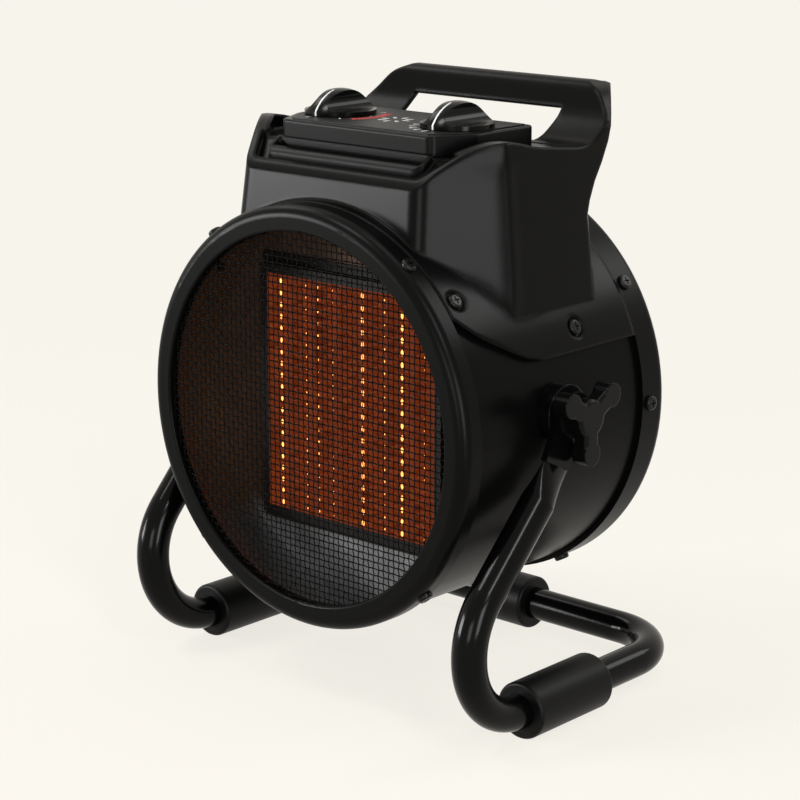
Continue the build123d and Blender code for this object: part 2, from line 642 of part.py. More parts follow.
def skirt():
    """Curved flange that lies on the drum and carries the saddle's screws."""
    y0 = FRONT_HOOP_W + GAP
    y1 = DEPTH - REAR_HOOP_W - GAP
    ring = y_cyl(SKIRT_R, y0, y1) - y_cyl(SKIRT_IN_R, y0 - 1, y1 + 1)
    with BuildSketch(Plane.YZ) as side:
        with BuildLine():
            points = [(y, DRUM_R * cos(radians(angle))) for y, angle in SKIRT_EDGE]
            edge = Spline(*points, tangents=((0.75, -0.66), (1, 0)))
            Polyline(edge @ 1, (y1, (edge @ 1).Y), (y1, BIG), (y0, BIG), edge @ 0)
        make_face()
    return ring & side_prism(side.sketch, BIG / 2)


def make_housing():
    """Moulded saddle with its tray, gulley, shaft openings and the carrying handle."""
    outer = housing_body(0) & side_prism(rim_profile(), BIG / 2)
    outer &= extrude(handle_front_view(), BIG / 2, both=True)

    outer -= housing_body(TRAY_RIM) & block((-BIG, BIG), (TRAY_FRONT_Y, TRAY_BACK_Y + 2), (TRAY_Z, BIG))
    outer -= side_prism(finger_gap(), GRIP_HALF)
    outer -= arm_flare()
    outer -= front_moat()
    outer -= block((-PANEL_FRONT_HALF, PANEL_FRONT_HALF), GULLEY_Y, (GULLEY_FLOOR_Z, BIG))

    shoulder_in = SHOULDER_Z - HOUSING_WALL - SHOULDER_ROUND
    ceiling = TRAY_Z - HOUSING_WALL
    with BuildSketch(Plane.YZ) as cavity:
        with BuildLine():
            Polyline(
                (0, 0), (0, shoulder_in - SHOULDER_ROUND), (SHOULDER[0] + HOUSING_WALL, shoulder_in),
                (GULLEY_Y[0], GULLEY_FLOOR_Z - HOUSING_WALL * 1.5),
                (GULLEY_Y[1], GULLEY_FLOOR_Z - HOUSING_WALL),
                (MOAT_FLOOR[1][0] + 2, ceiling), (HOUSING_BACK_Y - HOUSING_WALL, ceiling),
                (HOUSING_BACK_Y - HOUSING_WALL, 0), close=True,
            )
        make_face()
    outer += skirt()
    outer -= housing_body(HOUSING_WALL) & side_prism(cavity.sketch, BIG / 2)
    outer -= y_cyl(SKIRT_IN_R, -10, DEPTH + 10)
    half_x, half_y = KNOB_X + SWITCH_SIZE[0] / 2 + 1, SWITCH_SIZE[1] / 2 + 2
    outer -= block(
        (-half_x, half_x), (KNOB_Y - half_y, KNOB_Y + half_y), (TRAY_Z - HOUSING_WALL - 1, TRAY_Z + 1)
    )
    for frame in SADDLE_SEATS.values():
        outer -= well(frame, RECESS_R, RECESS_R)
        outer -= screw_hole(frame, SCREW_LEN)
    outer -= y_cyl(GLAND_BODY_R + FIT, HOUSING_BACK_Y - 20, HOUSING_BACK_Y + 1, 0, GLAND_Z)
    add("top_housing", outer)


# ================================================================ control panel
def panel_plan(inset, z):
    """Flared outline of the panel, parallel to the housing's shoulders."""
    with BuildSketch(Plane.XY.offset(z)) as plan:
        with BuildLine():
            Polyline(
                (PANEL_FRONT_HALF - inset, PANEL_FRONT_Y + inset), (PANEL_HALF - inset, PANEL_FLARE_Y),
                (PANEL_HALF - inset, PANEL_BACK_Y - inset), (-PANEL_HALF + inset, PANEL_BACK_Y - inset),
                (-PANEL_HALF + inset, PANEL_FLARE_Y), (-PANEL_FRONT_HALF + inset, PANEL_FRONT_Y + inset),
                close=True,
            )
        make_face()
        fillet(plan.vertices(), max(PANEL_CORNER - inset, 0.5))
    return plan.sketch


def make_panel():
    height = PANEL_TOP_Z - TRAY_Z
    cap = extrude(panel_plan(0, TRAY_Z), height)
    cap = fillet(cap.edges().group_by(Axis.Z)[-1], 1.0)
    cap -= extrude(panel_plan(PANEL_WALL, TRAY_Z), height - PANEL_WALL)
    overlay = extrude(panel_plan(OVERLAY_MARGIN, PANEL_TOP_Z), OVERLAY_T)
    for side in (-1, 1):
        bore = Pos(side * KNOB_X, KNOB_Y, PANEL_TOP_Z) * Cylinder(SPINDLE_R + FIT, 4 * PANEL_WALL)
        cap -= bore
        overlay -= bore
    add("control_panel", cap)
    add("panel_overlay", overlay)


def control_knob():
    """Round knob with a half-moon grip between two scooped flanks; its foot at Z = 0."""
    cap_h = KNOB_H - KNOB_DISC_H
    ball_r = (KNOB_R**2 + cap_h**2) / (2 * cap_h)
    knob = Pos(0, 0, KNOB_H - ball_r) * Sphere(ball_r)
    knob &= Cylinder(KNOB_R, KNOB_H, align=(Align.CENTER, Align.CENTER, Align.MIN))
    for side in (-1, 1):
        middle = side * (KNOB_FIN_W / 2 + KNOB_SCOOP_R)
        scoop = y_cyl(KNOB_SCOOP_R, -KNOB_R - 1, KNOB_R + 1, middle, KNOB_DISC_H + KNOB_SCOOP_R)
        flank = Box(KNOB_R, 2 * KNOB_R + 2, KNOB_H)
        scoop += Pos(middle + side * KNOB_R / 2, 0, KNOB_DISC_H + KNOB_H / 2) * flank
        knob -= scoop
    bore = Cylinder(SPINDLE_R + RUN, 2 * KNOB_BORE_DEPTH)
    return knob - bore


def make_controls():
    foot = PANEL_TOP_Z + OVERLAY_T + SEAT_GAP
    under = PANEL_TOP_Z - PANEL_WALL
    switch_h = SWITCH_SIZE[2]
    spindle_z0 = under - SPINDLE_IN
    spindle_z1 = foot + KNOB_BORE_DEPTH - SEAT_GAP
    bodies = {
        "function": Pos(0, 0, -switch_h / 2) * fillet(Box(*SWITCH_SIZE).edges().filter_by(Axis.Z), 2.5),
        "thermostat": Pos(0, 0, -THERMOSTAT_H / 2) * Cylinder(THERMOSTAT_R, THERMOSTAT_H),
    }
    for side, name in ((-1, "function"), (1, "thermostat")):
        centre = Pos(side * KNOB_X, KNOB_Y, 0)
        add(f"{name}_knob", centre * Pos(0, 0, foot) * control_knob())
        spindle = Pos(0, 0, (spindle_z0 + spindle_z1) / 2) * Cylinder(SPINDLE_R, spindle_z1 - spindle_z0)
        add(f"{name}_spindle", centre * spindle)
        body = Pos(0, 0, under) * bodies[name]
        body -= Pos(0, 0, under) * Cylinder(SPINDLE_R + RUN, 2 * SPINDLE_IN + 1)
        add(f"{name}_body", centre * body)


# ================================================================ stand
def arm_point(distance=0.0):
    """Point on the arm's straight run in the arm plane, measured from the end of the front bend."""
    lean = radians(ARM_LEAN)
    y = FOOT_FRONT_Y + FRONT_BEND_R * (1 - cos(lean)) + distance * sin(lean)
    return y, FRONT_BEND_R * (1 + sin(lean)) + distance * cos(lean)


def arm_length():
    """Straight run of the tube, which ends an eye's length before the pivot."""
    y, z = arm_point()
    return hypot(PIVOT_Y - y, AXLE_DROP + PIVOT_Z - z) - EYE_LEN


def stand_path():
    """Centre line of one half: arm, front bend, foot, rear corner, half of the rear bar."""
    bottom = -AXLE_DROP
    bend_middle = radians(225 - ARM_LEAN / 2)
    centre_y = FOOT_FRONT_Y + FRONT_BEND_R
    arm = ARM_PLANE * Line(arm_point(arm_length()), arm_point())
    bend = ARM_PLANE * ThreePointArc(
        arm_point(),
        (centre_y + FRONT_BEND_R * cos(bend_middle), FRONT_BEND_R * (1 + sin(bend_middle))),
        (centre_y, 0),
    )
    corner_x, corner_y = FOOT_X - REAR_BEND_R, REAR_BAR_Y - REAR_BEND_R
    diagonal = REAR_BEND_R * cos(pi / 4)
    foot = Line((FOOT_X, centre_y, bottom), (FOOT_X, corner_y, bottom))
    corner = ThreePointArc(
        (FOOT_X, corner_y, bottom),
        (corner_x + diagonal, corner_y + diagonal, bottom),
        (corner_x, REAR_BAR_Y, bottom),
    )
    bar = Line((corner_x, REAR_BAR_Y, bottom), (0, REAR_BAR_Y, bottom))
    return Wire([arm, bend, foot, corner, bar])


def arm_eye():
    """Flattened eye that ends an arm: round end, squeezed neck and flat plate round the pivot."""
    end = ARM_PLANE.from_local_coords(Vector(*arm_point(arm_length())))
    beyond = ARM_PLANE.from_local_coords(Vector(*arm_point(arm_length() + 1)))
    pivot = Vector(ARM_X, PIVOT_Y, PIVOT_Z)
    reach = pivot - end
    neck = end + (reach.normalized() + (beyond - end)) * (SQUEEZE_LEN / 2)
    neck = Vector(ARM_X, neck.Y, neck.Z)
    along = (pivot - neck).normalized()
    round_plane = Plane(origin=end, x_dir=(1, 0, 0), z_dir=beyond - end)
    flat_plane = Plane(origin=neck, x_dir=(1, 0, 0), z_dir=along)
    squeeze = loft([round_plane * Circle(TUBE_R), flat_plane * Ellipse(PLATE_T / 2, PLATE_HALF)])
    length = (pivot - neck).length
    outline = Pos(length / 2, 0) * Rectangle(length, 2 * PLATE_HALF) + Pos(length, 0) * Circle(PLATE_HALF)
    sheet = Plane(origin=neck, x_dir=along, z_dir=(1, 0, 0)) * outline
    return squeeze + extrude(sheet, PLATE_T / 2, both=True)


def make_stand():
    """One bent tube, and the flattened eye welded on each end of it."""
    path = stand_path()
    start = Plane(origin=path @ 0, z_dir=path % 0)
    half = sweep(start * Circle(TUBE_R), path) - sweep(start * Circle(TUBE_R - TUBE_WALL), path)
    add("stand_tube", half + mirrored(half))
    eye = arm_eye() - x_cyl(STUD_R + RUN, ARM_X - TUBE_R, ARM_X + TUBE_R, PIVOT_Y, PIVOT_Z)
    add("arm_eye_right", eye)
    add("arm_eye_left", mirrored(eye))


def rubber_sleeve(length):
    """Foot sleeve along Y from 0, split by the tube's bore, with a flat tread below."""
    sleeve = y_cyl(SLEEVE_R, 0, length)
    sleeve = fillet(sleeve.edges().filter_by(GeomType.CIRCLE), SLEEVE_ROUND)
    sleeve -= y_cyl(TUBE_R + FIT, -1, length + 1)
    return sleeve - block((-BIG, BIG), (-BIG, BIG), (-BIG, SLEEVE_FLAT - SLEEVE_R))


def make_sleeves():
    for side, name in ((1, "right"), (-1, "left")):
        add(f"foot_sleeve_{name}", Pos(side * FOOT_X, SLEEVE_START, -AXLE_DROP) * rubber_sleeve(SLEEVE_LEN))
    across = Pos(REAR_SLEEVE_LEN / 2, REAR_BAR_Y, -AXLE_DROP) * Rot(0, 0, 90)
    add("rear_sleeve", across * rubber_sleeve(REAR_SLEEVE_LEN))


# ================================================================ tilt pivot
def lobed_face():
    """Three-lobed outline of the clamping knobs."""
    face = Circle(KNOB3_HUB_R)
    offset = KNOB3_REACH - KNOB3_LOBE_R
    for turn in (30, 150, 270):
        web = Rectangle(offset, 2 * KNOB3_LOBE_R - 1.6)
        face += Rot(0, 0, turn) * (Pos(offset, 0) * Circle(KNOB3_LOBE_R) + Pos(offset / 2, 0) * web)
    return face


def make_pivots():
    plate_in = ARM_X - PLATE_T / 2
    plate_out = ARM_X + PLATE_T / 2
    washer_x = plate_out + SEAT_GAP
    collar_x = washer_x + WASHER_T + SEAT_GAP
    lobes_x = collar_x + KNOB3_COLLAR_T
    stud_end = lobes_x + KNOB3_BORE - 1
    inside = sqrt(DRUM_IN_R**2 - (PIVOT_Z + STUD_HEAD_R) ** 2)

    boss = x_cyl(BOSS_R, inside, plate_in - SEAT_GAP, PIVOT_Y, PIVOT_Z)
    boss -= y_cyl(DRUM_R + FIT, -10, DEPTH + 10)
    boss -= x_cyl(STUD_R + FIT, 0, BIG, PIVOT_Y, PIVOT_Z)

    stud = x_cyl(STUD_R, inside, stud_end, PIVOT_Y, PIVOT_Z)
    stud += x_cyl(STUD_HEAD_R, inside - STUD_HEAD_T, inside, PIVOT_Y, PIVOT_Z)

    washer = x_cyl(WASHER_R, washer_x, washer_x + WASHER_T, PIVOT_Y, PIVOT_Z)
    washer -= x_cyl(STUD_R + FIT, 0, BIG, PIVOT_Y, PIVOT_Z)

    lobes = Plane(origin=(lobes_x, PIVOT_Y, PIVOT_Z), x_dir=(0, 1, 0), z_dir=(1, 0, 0)) * lobed_face()
    knob = extrude(lobes, KNOB3_T)
    knob = fillet(knob.edges().filter_by(Plane.YZ), 1.6)
    knob += x_cyl(KNOB3_COLLAR_R, collar_x, lobes_x + 1, PIVOT_Y, PIVOT_Z)
    knob -= x_cyl(STUD_R + RUN, 0, lobes_x + KNOB3_BORE, PIVOT_Y, PIVOT_Z)

    for name, turn in (("right", lambda s: s), ("left", mirrored)):
        add(f"pivot_boss_{name}", turn(boss))
        add(f"pivot_stud_{name}", turn(stud))
        add(f"pivot_washer_{name}", turn(washer))
        add(f"clamp_knob_{name}", turn(knob))


# ================================================================ cable inlet
def make_inlet():
    """Cable gland in the housing's rear wall, its nut, and the terminal block inside."""
    wall_in, wall_out = HOUSING_BACK_Y - HOUSING_WALL, HOUSING_BACK_Y
    gland = y_cyl(GLAND_BODY_R, wall_in - GLAND_IN, wall_out, 0, GLAND_Z)
    gland += y_cyl(GLAND_FLANGE_R, wall_out, wall_out + GLAND_FLANGE_T, 0, GLAND_Z)
    taper = Cone(GLAND_BODY_R, GLAND_BORE_R + GLAND_LIP, GLAND_OUT)
    gland += Pos(0, wall_out + GLAND_OUT / 2, GLAND_Z) * Rot(-90, 0, 0) * taper
    gland -= y_cyl(GLAND_BORE_R, 0, 2 * BIG, 0, GLAND_Z)
    add("cable_gland", gland)

    nut = Pos(0, wall_in - GLAND_NUT_T / 2, GLAND_Z) * Rot(90, 0, 0)
    nut = nut * extrude(RegularPolygon(GLAND_FLANGE_R, 6), GLAND_NUT_T / 2, both=True)
    add("gland_nut", nut - y_cyl(GLAND_BODY_R + FIT, 0, BIG, 0, GLAND_Z))

    length, width, height = TERMINAL_SIZE
    top = TRAY_Z - HOUSING_WALL
    y = TRAY_BACK_Y - width / 2 - 1
    terminals = Box(length, width, height)
    for way in (-1, 0, 1):
        terminals -= Pos(way * TERMINAL_PITCH, 0, -height / 2) * Cylinder(TERMINAL_HOLE_R, height)
    add("terminal_block", Pos(0, y, top - height / 2) * terminals)


# ================================================================ assembly
make_hoops()
make_screws()
make_front_mesh()
make_rear_grille()
make_drum()
make_ptc()
make_fan()
make_housing()
make_panel()
make_controls()
make_stand()
make_sleeves()
make_pivots()
make_inlet()

for name, shape in parts.items():
    export_step(shape, f"parts/{name}.step")
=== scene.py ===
"""Studio scene of a round ceramic fan heater on a tilting bent-tube stand."""
import logging
import math
from dataclasses import dataclass
from enum import Enum

import bmesh
import bpy
from mathutils import Euler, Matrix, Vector


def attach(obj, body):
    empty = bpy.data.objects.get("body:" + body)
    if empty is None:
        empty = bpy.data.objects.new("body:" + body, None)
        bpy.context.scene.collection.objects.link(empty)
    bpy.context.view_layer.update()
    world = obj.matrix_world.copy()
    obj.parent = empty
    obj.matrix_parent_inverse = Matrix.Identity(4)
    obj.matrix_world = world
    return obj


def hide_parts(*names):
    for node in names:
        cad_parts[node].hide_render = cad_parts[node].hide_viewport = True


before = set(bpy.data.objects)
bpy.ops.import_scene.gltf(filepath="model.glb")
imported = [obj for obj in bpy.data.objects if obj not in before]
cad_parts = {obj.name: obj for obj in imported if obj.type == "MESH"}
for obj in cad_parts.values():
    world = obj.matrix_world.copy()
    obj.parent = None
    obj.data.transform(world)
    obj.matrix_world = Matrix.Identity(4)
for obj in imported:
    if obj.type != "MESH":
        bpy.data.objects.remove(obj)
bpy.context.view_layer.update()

log = logging.getLogger("heater")
Tree = bpy.types.NodeTree
Socket = bpy.types.NodeSocket

MM = 0.001
UM = 1e-6
AXLE_Z = 0.1254                  # height of the drum's axis
FRONT_Y = -0.073875              # front ring's face
FILM_TOP = 0.2444                # top of the printed film
KNOB_X = 0.033                   # knob axes lie at plus and minus this
KNOB_Y = -0.012875               # and both at this
BLOCK_FRONT = FRONT_Y + 0.030    # front of the heating block
BLOCK_BACK = FRONT_Y + 0.045     # and its back
BLOCK_HALF = (0.048, 0.052)      # half its width and height
BARE_Z = AXLE_Z - 0.064          # below this the zinc has no painted glow
GLOW_FULL_Z = AXLE_Z - 0.050       # above this the block's red glow is fully painted on

# sockets of a Mix node: its two inputs and its output, for numbers and for colours
FLOAT_A, FLOAT_B, FLOAT_OUT = 2, 3, 0
COLOUR_A, COLOUR_B, COLOUR_OUT = 6, 7, 2
# octaves of a noise, for slow patches and for fine grain or streaks
PATCH_DETAIL, FINE_DETAIL = 3.0, 2.0
# rays by which the shading of an edge is softened
EDGE_SAMPLES = 8
# input types of a Geometry Nodes tree
FLOAT, INT = "NodeSocketFloat", "NodeSocketInt"


class Side(Enum):
    """Side of the heater."""

    LEFT = ("left", "function")
    RIGHT = ("right", "thermostat")

    def __init__(self, label: str, knob: str) -> None:
        """Keep what tells the sides apart.

        Args:
            label: word that ends the names of the side's CAD nodes.
            knob: word that starts the name of the side's control knob.
        """
        self.label = label
        self.knob = knob


def srgb(code: str) -> tuple[float, float, float, float]:
    """Turn an sRGB hex colour into linear light.

    Args:
        code: six hex digits, such as "1a1a1c".

    Returns:
        Linear red, green, blue and an alpha of 1.
    """
    channels = [int(code[i:i + 2], 16) / 255 for i in (0, 2, 4)]
    linear = [c / 12.92 if c <= 0.04045 else ((c + 0.055) / 1.055) ** 2.4 for c in channels]
    return (linear[0], linear[1], linear[2], 1.0)


def add_node(tree: Tree, kind: str, settings: dict | None = None,
             inputs: dict | None = None) -> bpy.types.Node:
    """Add a node with its settings and links.

    Args:
        tree: node tree that takes the node.
        kind: Blender's name of the node type.
        settings: attributes to set on the node.
        inputs: socket name or number to a value, or to an output socket that is linked to it.

    Returns:
        The new node.
    """
    node = tree.nodes.new(kind)
    for key, value in (settings or {}).items():
        setattr(node, key, value)
    for key, value in (inputs or {}).items():
        if isinstance(value, Socket):
            tree.links.new(value, node.inputs[key])
        else:
            node.inputs[key].default_value = value
    return node


def painted_glow_tint(tree: Tree, bare: str, glow_lit: str) -> Socket:
    """Colour of zinc with the block's red glow painted on, rising from the block's lower edge
    upward.

    Args:
        tree: material tree.
        bare: hex colour well below the block.
        glow_lit: hex colour beside and above the block, where its red glow is painted on.

    Returns:
        Colour socket.
    """
    place = add_node(tree, "ShaderNodeTexCoord")
    level = add_node(tree, "ShaderNodeSeparateXYZ", None, {0: place.outputs["Object"]})
    # share of the block's painted red glow, rising with the height
    glow_share = add_node(tree, "ShaderNodeMapRange", {"interpolation_type": "SMOOTHSTEP"},
                    {"Value": level.outputs[2], "From Min": BARE_Z, "From Max": GLOW_FULL_Z})
    tint = add_node(tree, "ShaderNodeMix", {"data_type": "RGBA"},
                    {0: glow_share.outputs[0], COLOUR_A: srgb(bare), COLOUR_B: srgb(glow_lit)})
    return tint.outputs[COLOUR_OUT]


# ------------------------------------------------------------------------------- finishes
@dataclass(frozen=True)
class Finish:
    """A solid material with a fine grain and a slow drift of tone and gloss."""

    name: str
    colour: str
    roughness: float
    metallic: float = 0.0
    ior: float = 1.5             # of the usual paints and plastics
    specular: float = 0.5
    # size of the grain's grits; where the real ones are too fine to show, as on the mouldings,
    # the rubber, the inks and the blackened steel, they are drawn coarser
    grain_mm: float = 0.9
    grain_um: float = 12.0       # height of the grain
    drift_mm: float = 30.0       # size of the patches of tone
    drift: float = 0.10          # share by which tone and gloss drift
    edge_mm: float = 0.0         # how far the shading softens beside an edge

    def scaled(self, tree: Tree, size_mm: float,
               stretch: tuple[float, float, float] = (1, 1, 1)) -> Socket:
        """Object coordinates counted in features of a real size.

        Args:
            tree: material tree.
            size_mm: size of one feature.
            stretch: factors along X, Y and Z.

        Returns:
            Vector socket.
        """
        place = add_node(tree, "ShaderNodeTexCoord")
        factor = [1 / (size_mm * MM) * share for share in stretch]
        mapping = add_node(tree, "ShaderNodeMapping", {"vector_type": "POINT"},
                           {"Vector": place.outputs["Object"], "Scale": factor})
        return mapping.outputs[0]

    def tone(self, tree: Tree) -> Socket:
        """Value from 0 to 1 that drifts slowly over the surface.

        Args:
            tree: material tree.

        Returns:
            Value socket.
        """
        noise = add_node(tree, "ShaderNodeTexNoise", None, {
            "Vector": self.scaled(tree, self.drift_mm), "Scale": 1.0, "Detail": PATCH_DETAIL})
        return noise.outputs["Fac"]

    def height(self, tree: Tree) -> Socket:
        """Height of the grain, from 0 to 1.

        Args:
            tree: material tree.

        Returns:
            Value socket.
        """
        noise = add_node(tree, "ShaderNodeTexNoise", None, {
            "Vector": self.scaled(tree, self.grain_mm), "Scale": 1.0, "Detail": FINE_DETAIL})
        return noise.outputs["Fac"]

    def base_colour(self, tree: Tree, tone: Socket) -> Socket:
        """Base colour, a little lighter and darker where the tone drifts.

        Args:
            tree: material tree.
            tone: drifting value.

        Returns:
            Colour socket.
        """
        base = Vector(srgb(self.colour)[:3])
        mix = add_node(tree, "ShaderNodeMix", {"data_type": "RGBA"}, {
            0: tone, COLOUR_A: (*(base * (1 - self.drift)), 1),
            COLOUR_B: (*(base * (1 + self.drift)), 1)})
        return mix.outputs[COLOUR_OUT]

    def gloss(self, tree: Tree, tone: Socket) -> Socket:
        """Roughness that drifts with the tone.

        Args:
            tree: material tree.
            tone: drifting value.

        Returns:
            Value socket.
        """
        spread = self.roughness * self.drift
        return add_node(tree, "ShaderNodeMapRange", None, {
            "Value": tone, "To Min": self.roughness - spread,
            "To Max": self.roughness + spread}).outputs[0]

    def softness(self, tree: Tree) -> Socket | float:
        """Radius over which the shading of an edge is softened."""
        return self.edge_mm * MM

    def detail(self, tree: Tree, shader: bpy.types.Node) -> None:
        """Extra nodes of a finish; a plain finish has none."""

    def build(self) -> bpy.types.Material:
        """Make the material, or find it if it was made before.

        Returns:
            The material.
        """
        found = bpy.data.materials.get(self.name)
        if found:
            return found
        material = bpy.data.materials.new(self.name)
        material.use_nodes = True
        tree = material.node_tree
        tree.nodes.clear()
        tone = self.tone(tree)
        relief = {"Height": self.height(tree), "Strength": 1.0, "Distance": self.grain_um * UM}
        if self.edge_mm:
            soft = add_node(tree, "ShaderNodeBevel", {"samples": EDGE_SAMPLES},
                            {"Radius": self.softness(tree)})
            relief["Normal"] = soft.outputs[0]
        bump = add_node(tree, "ShaderNodeBump", None, relief)
        shader = add_node(tree, "ShaderNodeBsdfPrincipled", None, {
            "Base Color": self.base_colour(tree, tone), "Roughness": self.gloss(tree, tone),
            "Metallic": self.metallic, "Normal": bump.outputs[0], "IOR": self.ior,
            "Specular IOR Level": self.specular})
        self.detail(tree, shader)
        add_node(tree, "ShaderNodeOutputMaterial", None, {"Surface": shader.outputs[0]})
        material.diffuse_color = srgb(self.colour)
        return material


@dataclass(frozen=True)
class SoftKnee(Finish):
    """Moulding whose knee between the flared shoulder and the side is a broad rounding."""

    knee_mm: float = 11.0
    # where the knee lies: distance from the middle, front to back, bottom to top
    knee: tuple[tuple[float, float], ...] = ((0.052, 0.15), (-0.054, -0.002), (0.160, 0.244))
    fade: float = 0.020          # over which the wide radius fades out

    def softness(self, tree: Tree) -> Socket:
        """The plain radius, growing to the knee's inside its box.

        Args:
            tree: material tree.

        Returns:
            Value socket.
        """
        place = add_node(tree, "ShaderNodeTexCoord")
        axes = add_node(tree, "ShaderNodeSeparateXYZ", None, {0: place.outputs["Object"]})
        across = add_node(tree, "ShaderNodeMath", {"operation": "ABSOLUTE"}, {0: axes.outputs[0]})
        share: Socket | float = (self.knee_mm - self.edge_mm) * MM
        for along, (low, high) in zip((across.outputs[0], *axes.outputs[1:3]), self.knee):
            for edge, inward in ((low, self.fade), (high, -self.fade)):
                ramp = add_node(tree, "ShaderNodeMapRange", {"interpolation_type": "SMOOTHSTEP"}, {
                    "Value": along, "From Min": edge, "From Max": edge + inward})
                share = add_node(tree, "ShaderNodeMath", {"operation": "MULTIPLY"},
                                 {0: share, 1: ramp.outputs[0]}).outputs[0]
        return add_node(tree, "ShaderNodeMath", {"operation": "ADD"},
                        {0: share, 1: self.edge_mm * MM}).outputs[0]


@dataclass(frozen=True)
class Galvanised(Finish):
    """Zinc-dipped sheet: flat grey crystals, each with its own tone."""

    spangle_mm: float = 7.0      # width of one crystal

    def tone(self, tree: Tree) -> Socket:
        """One random tone for each crystal.

        Args:
            tree: material tree.

        Returns:
            Value socket.
        """
        cells = add_node(tree, "ShaderNodeTexVoronoi", None,
                         {"Vector": self.scaled(tree, self.spangle_mm), "Scale": 1.0})
        return add_node(tree, "ShaderNodeSeparateColor", None,
                        {0: cells.outputs["Color"]}).outputs[0]


@dataclass(frozen=True)
class Baffle(Galvanised):
    """The same sheet where it carries the heating block, with the block's red glow and shade
    painted round it.
    """

    # painted red glow and shade of the block on the zinc beside and above it
    painted_glow_colour: str = "4c382c"

    def base_colour(self, tree: Tree, tone: Socket) -> Socket:
        """Zinc below the block and zinc with the block's glow and shade painted on beside it, each
        crystal with its own tone.

        Args:
            tree: material tree.
            tone: random value of each crystal.

        Returns:
            Colour socket.
        """
        shade = add_node(tree, "ShaderNodeMapRange", None, {
            "Value": tone, "To Min": 1 - self.drift, "To Max": 1 + self.drift})
        return add_node(tree, "ShaderNodeVectorMath", {"operation": "SCALE"}, {
            0: painted_glow_tint(tree, self.colour, self.painted_glow_colour), "Scale": shade.outputs[0]}).outputs[0]


@dataclass(frozen=True)
class LinedDrum(Finish):
    """Powder coat outside, bare zinc inside with the block's red glow painted on near it, split at
    the middle of the sheet.
    """

    inside: str = "8c8d8e"
    painted_glow_colour: str = "94785f"       # the block's red glow, painted on the zinc beside it
    inside_roughness: float = 0.42
    wall_r: float = 0.0871       # radius at the middle of the sheet

    def detail(self, tree: Tree, shader: bpy.types.Node) -> None:
        """Switch colour, metal and gloss by the distance from the drum's axis.

        Args:
            tree: material tree.
            shader: its shader node.
        """
        place = add_node(tree, "ShaderNodeTexCoord")
        centred = add_node(tree, "ShaderNodeVectorMath", {"operation": "SUBTRACT"},
                           {0: place.outputs["Object"], 1: (0, 0, AXLE_Z)})
        flat = add_node(tree, "ShaderNodeVectorMath", {"operation": "MULTIPLY"},
                        {0: centred.outputs[0], 1: (1, 0, 1)})
        reach = add_node(tree, "ShaderNodeVectorMath", {"operation": "LENGTH"},
                         {0: flat.outputs[0]})
        lining = add_node(tree, "ShaderNodeMath", {"operation": "LESS_THAN"},
                          {0: reach.outputs["Value"], 1: self.wall_r}).outputs[0]
        # inside: zinc with the block's red glow painted on
        colour = add_node(tree, "ShaderNodeMix", {"data_type": "RGBA"}, {
            0: lining, COLOUR_A: shader.inputs["Base Color"].links[0].from_socket,
            COLOUR_B: painted_glow_tint(tree, self.inside, self.painted_glow_colour)})
        gloss = add_node(tree, "ShaderNodeMix", {"data_type": "FLOAT"}, {
            0: lining, FLOAT_A: shader.inputs["Roughness"].links[0].from_socket,
            FLOAT_B: self.inside_roughness})
        tree.links.new(colour.outputs[COLOUR_OUT], shader.inputs["Base Color"])
        tree.links.new(lining, shader.inputs["Metallic"])
        tree.links.new(gloss.outputs[FLOAT_OUT], shader.inputs["Roughness"])


@dataclass(frozen=True)
class MarkedKnob(Finish):
    """Moulding with a white line along the front half of each knob's fin."""

    line: str = "c9c9c6"
    half_mm: float = 0.45        # half the line's width
    reach_mm: float = 4.0        # from the axis to the line's inner end

    def detail(self, tree: Tree, shader: bpy.types.Node) -> None:
        """Paint the line where a point lies in front of its knob's axis.

        Args:
            tree: material tree.
            shader: its shader node.
        """
        place = add_node(tree, "ShaderNodeTexCoord")
        axes = add_node(tree, "ShaderNodeSeparateXYZ", None, {0: place.outputs["Object"]})
        across = add_node(tree, "ShaderNodeMath", {"operation": "ABSOLUTE"}, {0: axes.outputs[0]})
        middle = add_node(tree, "ShaderNodeMath", {"operation": "COMPARE"},
                          {0: across.outputs[0], 1: KNOB_X, 2: self.half_mm * MM})
        front = add_node(tree, "ShaderNodeMath", {"operation": "LESS_THAN"},
                         {0: axes.outputs[1], 1: KNOB_Y - self.reach_mm * MM})
        painted = add_node(tree, "ShaderNodeMath", {"operation": "MULTIPLY"},
                           {0: middle.outputs[0], 1: front.outputs[0]})
        colour = add_node(tree, "ShaderNodeMix", {"data_type": "RGBA"}, {
            0: painted.outputs[0], COLOUR_A: shader.inputs["Base Color"].links[0].from_socket,
            COLOUR_B: srgb(self.line)})
        tree.links.new(colour.outputs[COLOUR_OUT], shader.inputs["Base Color"])


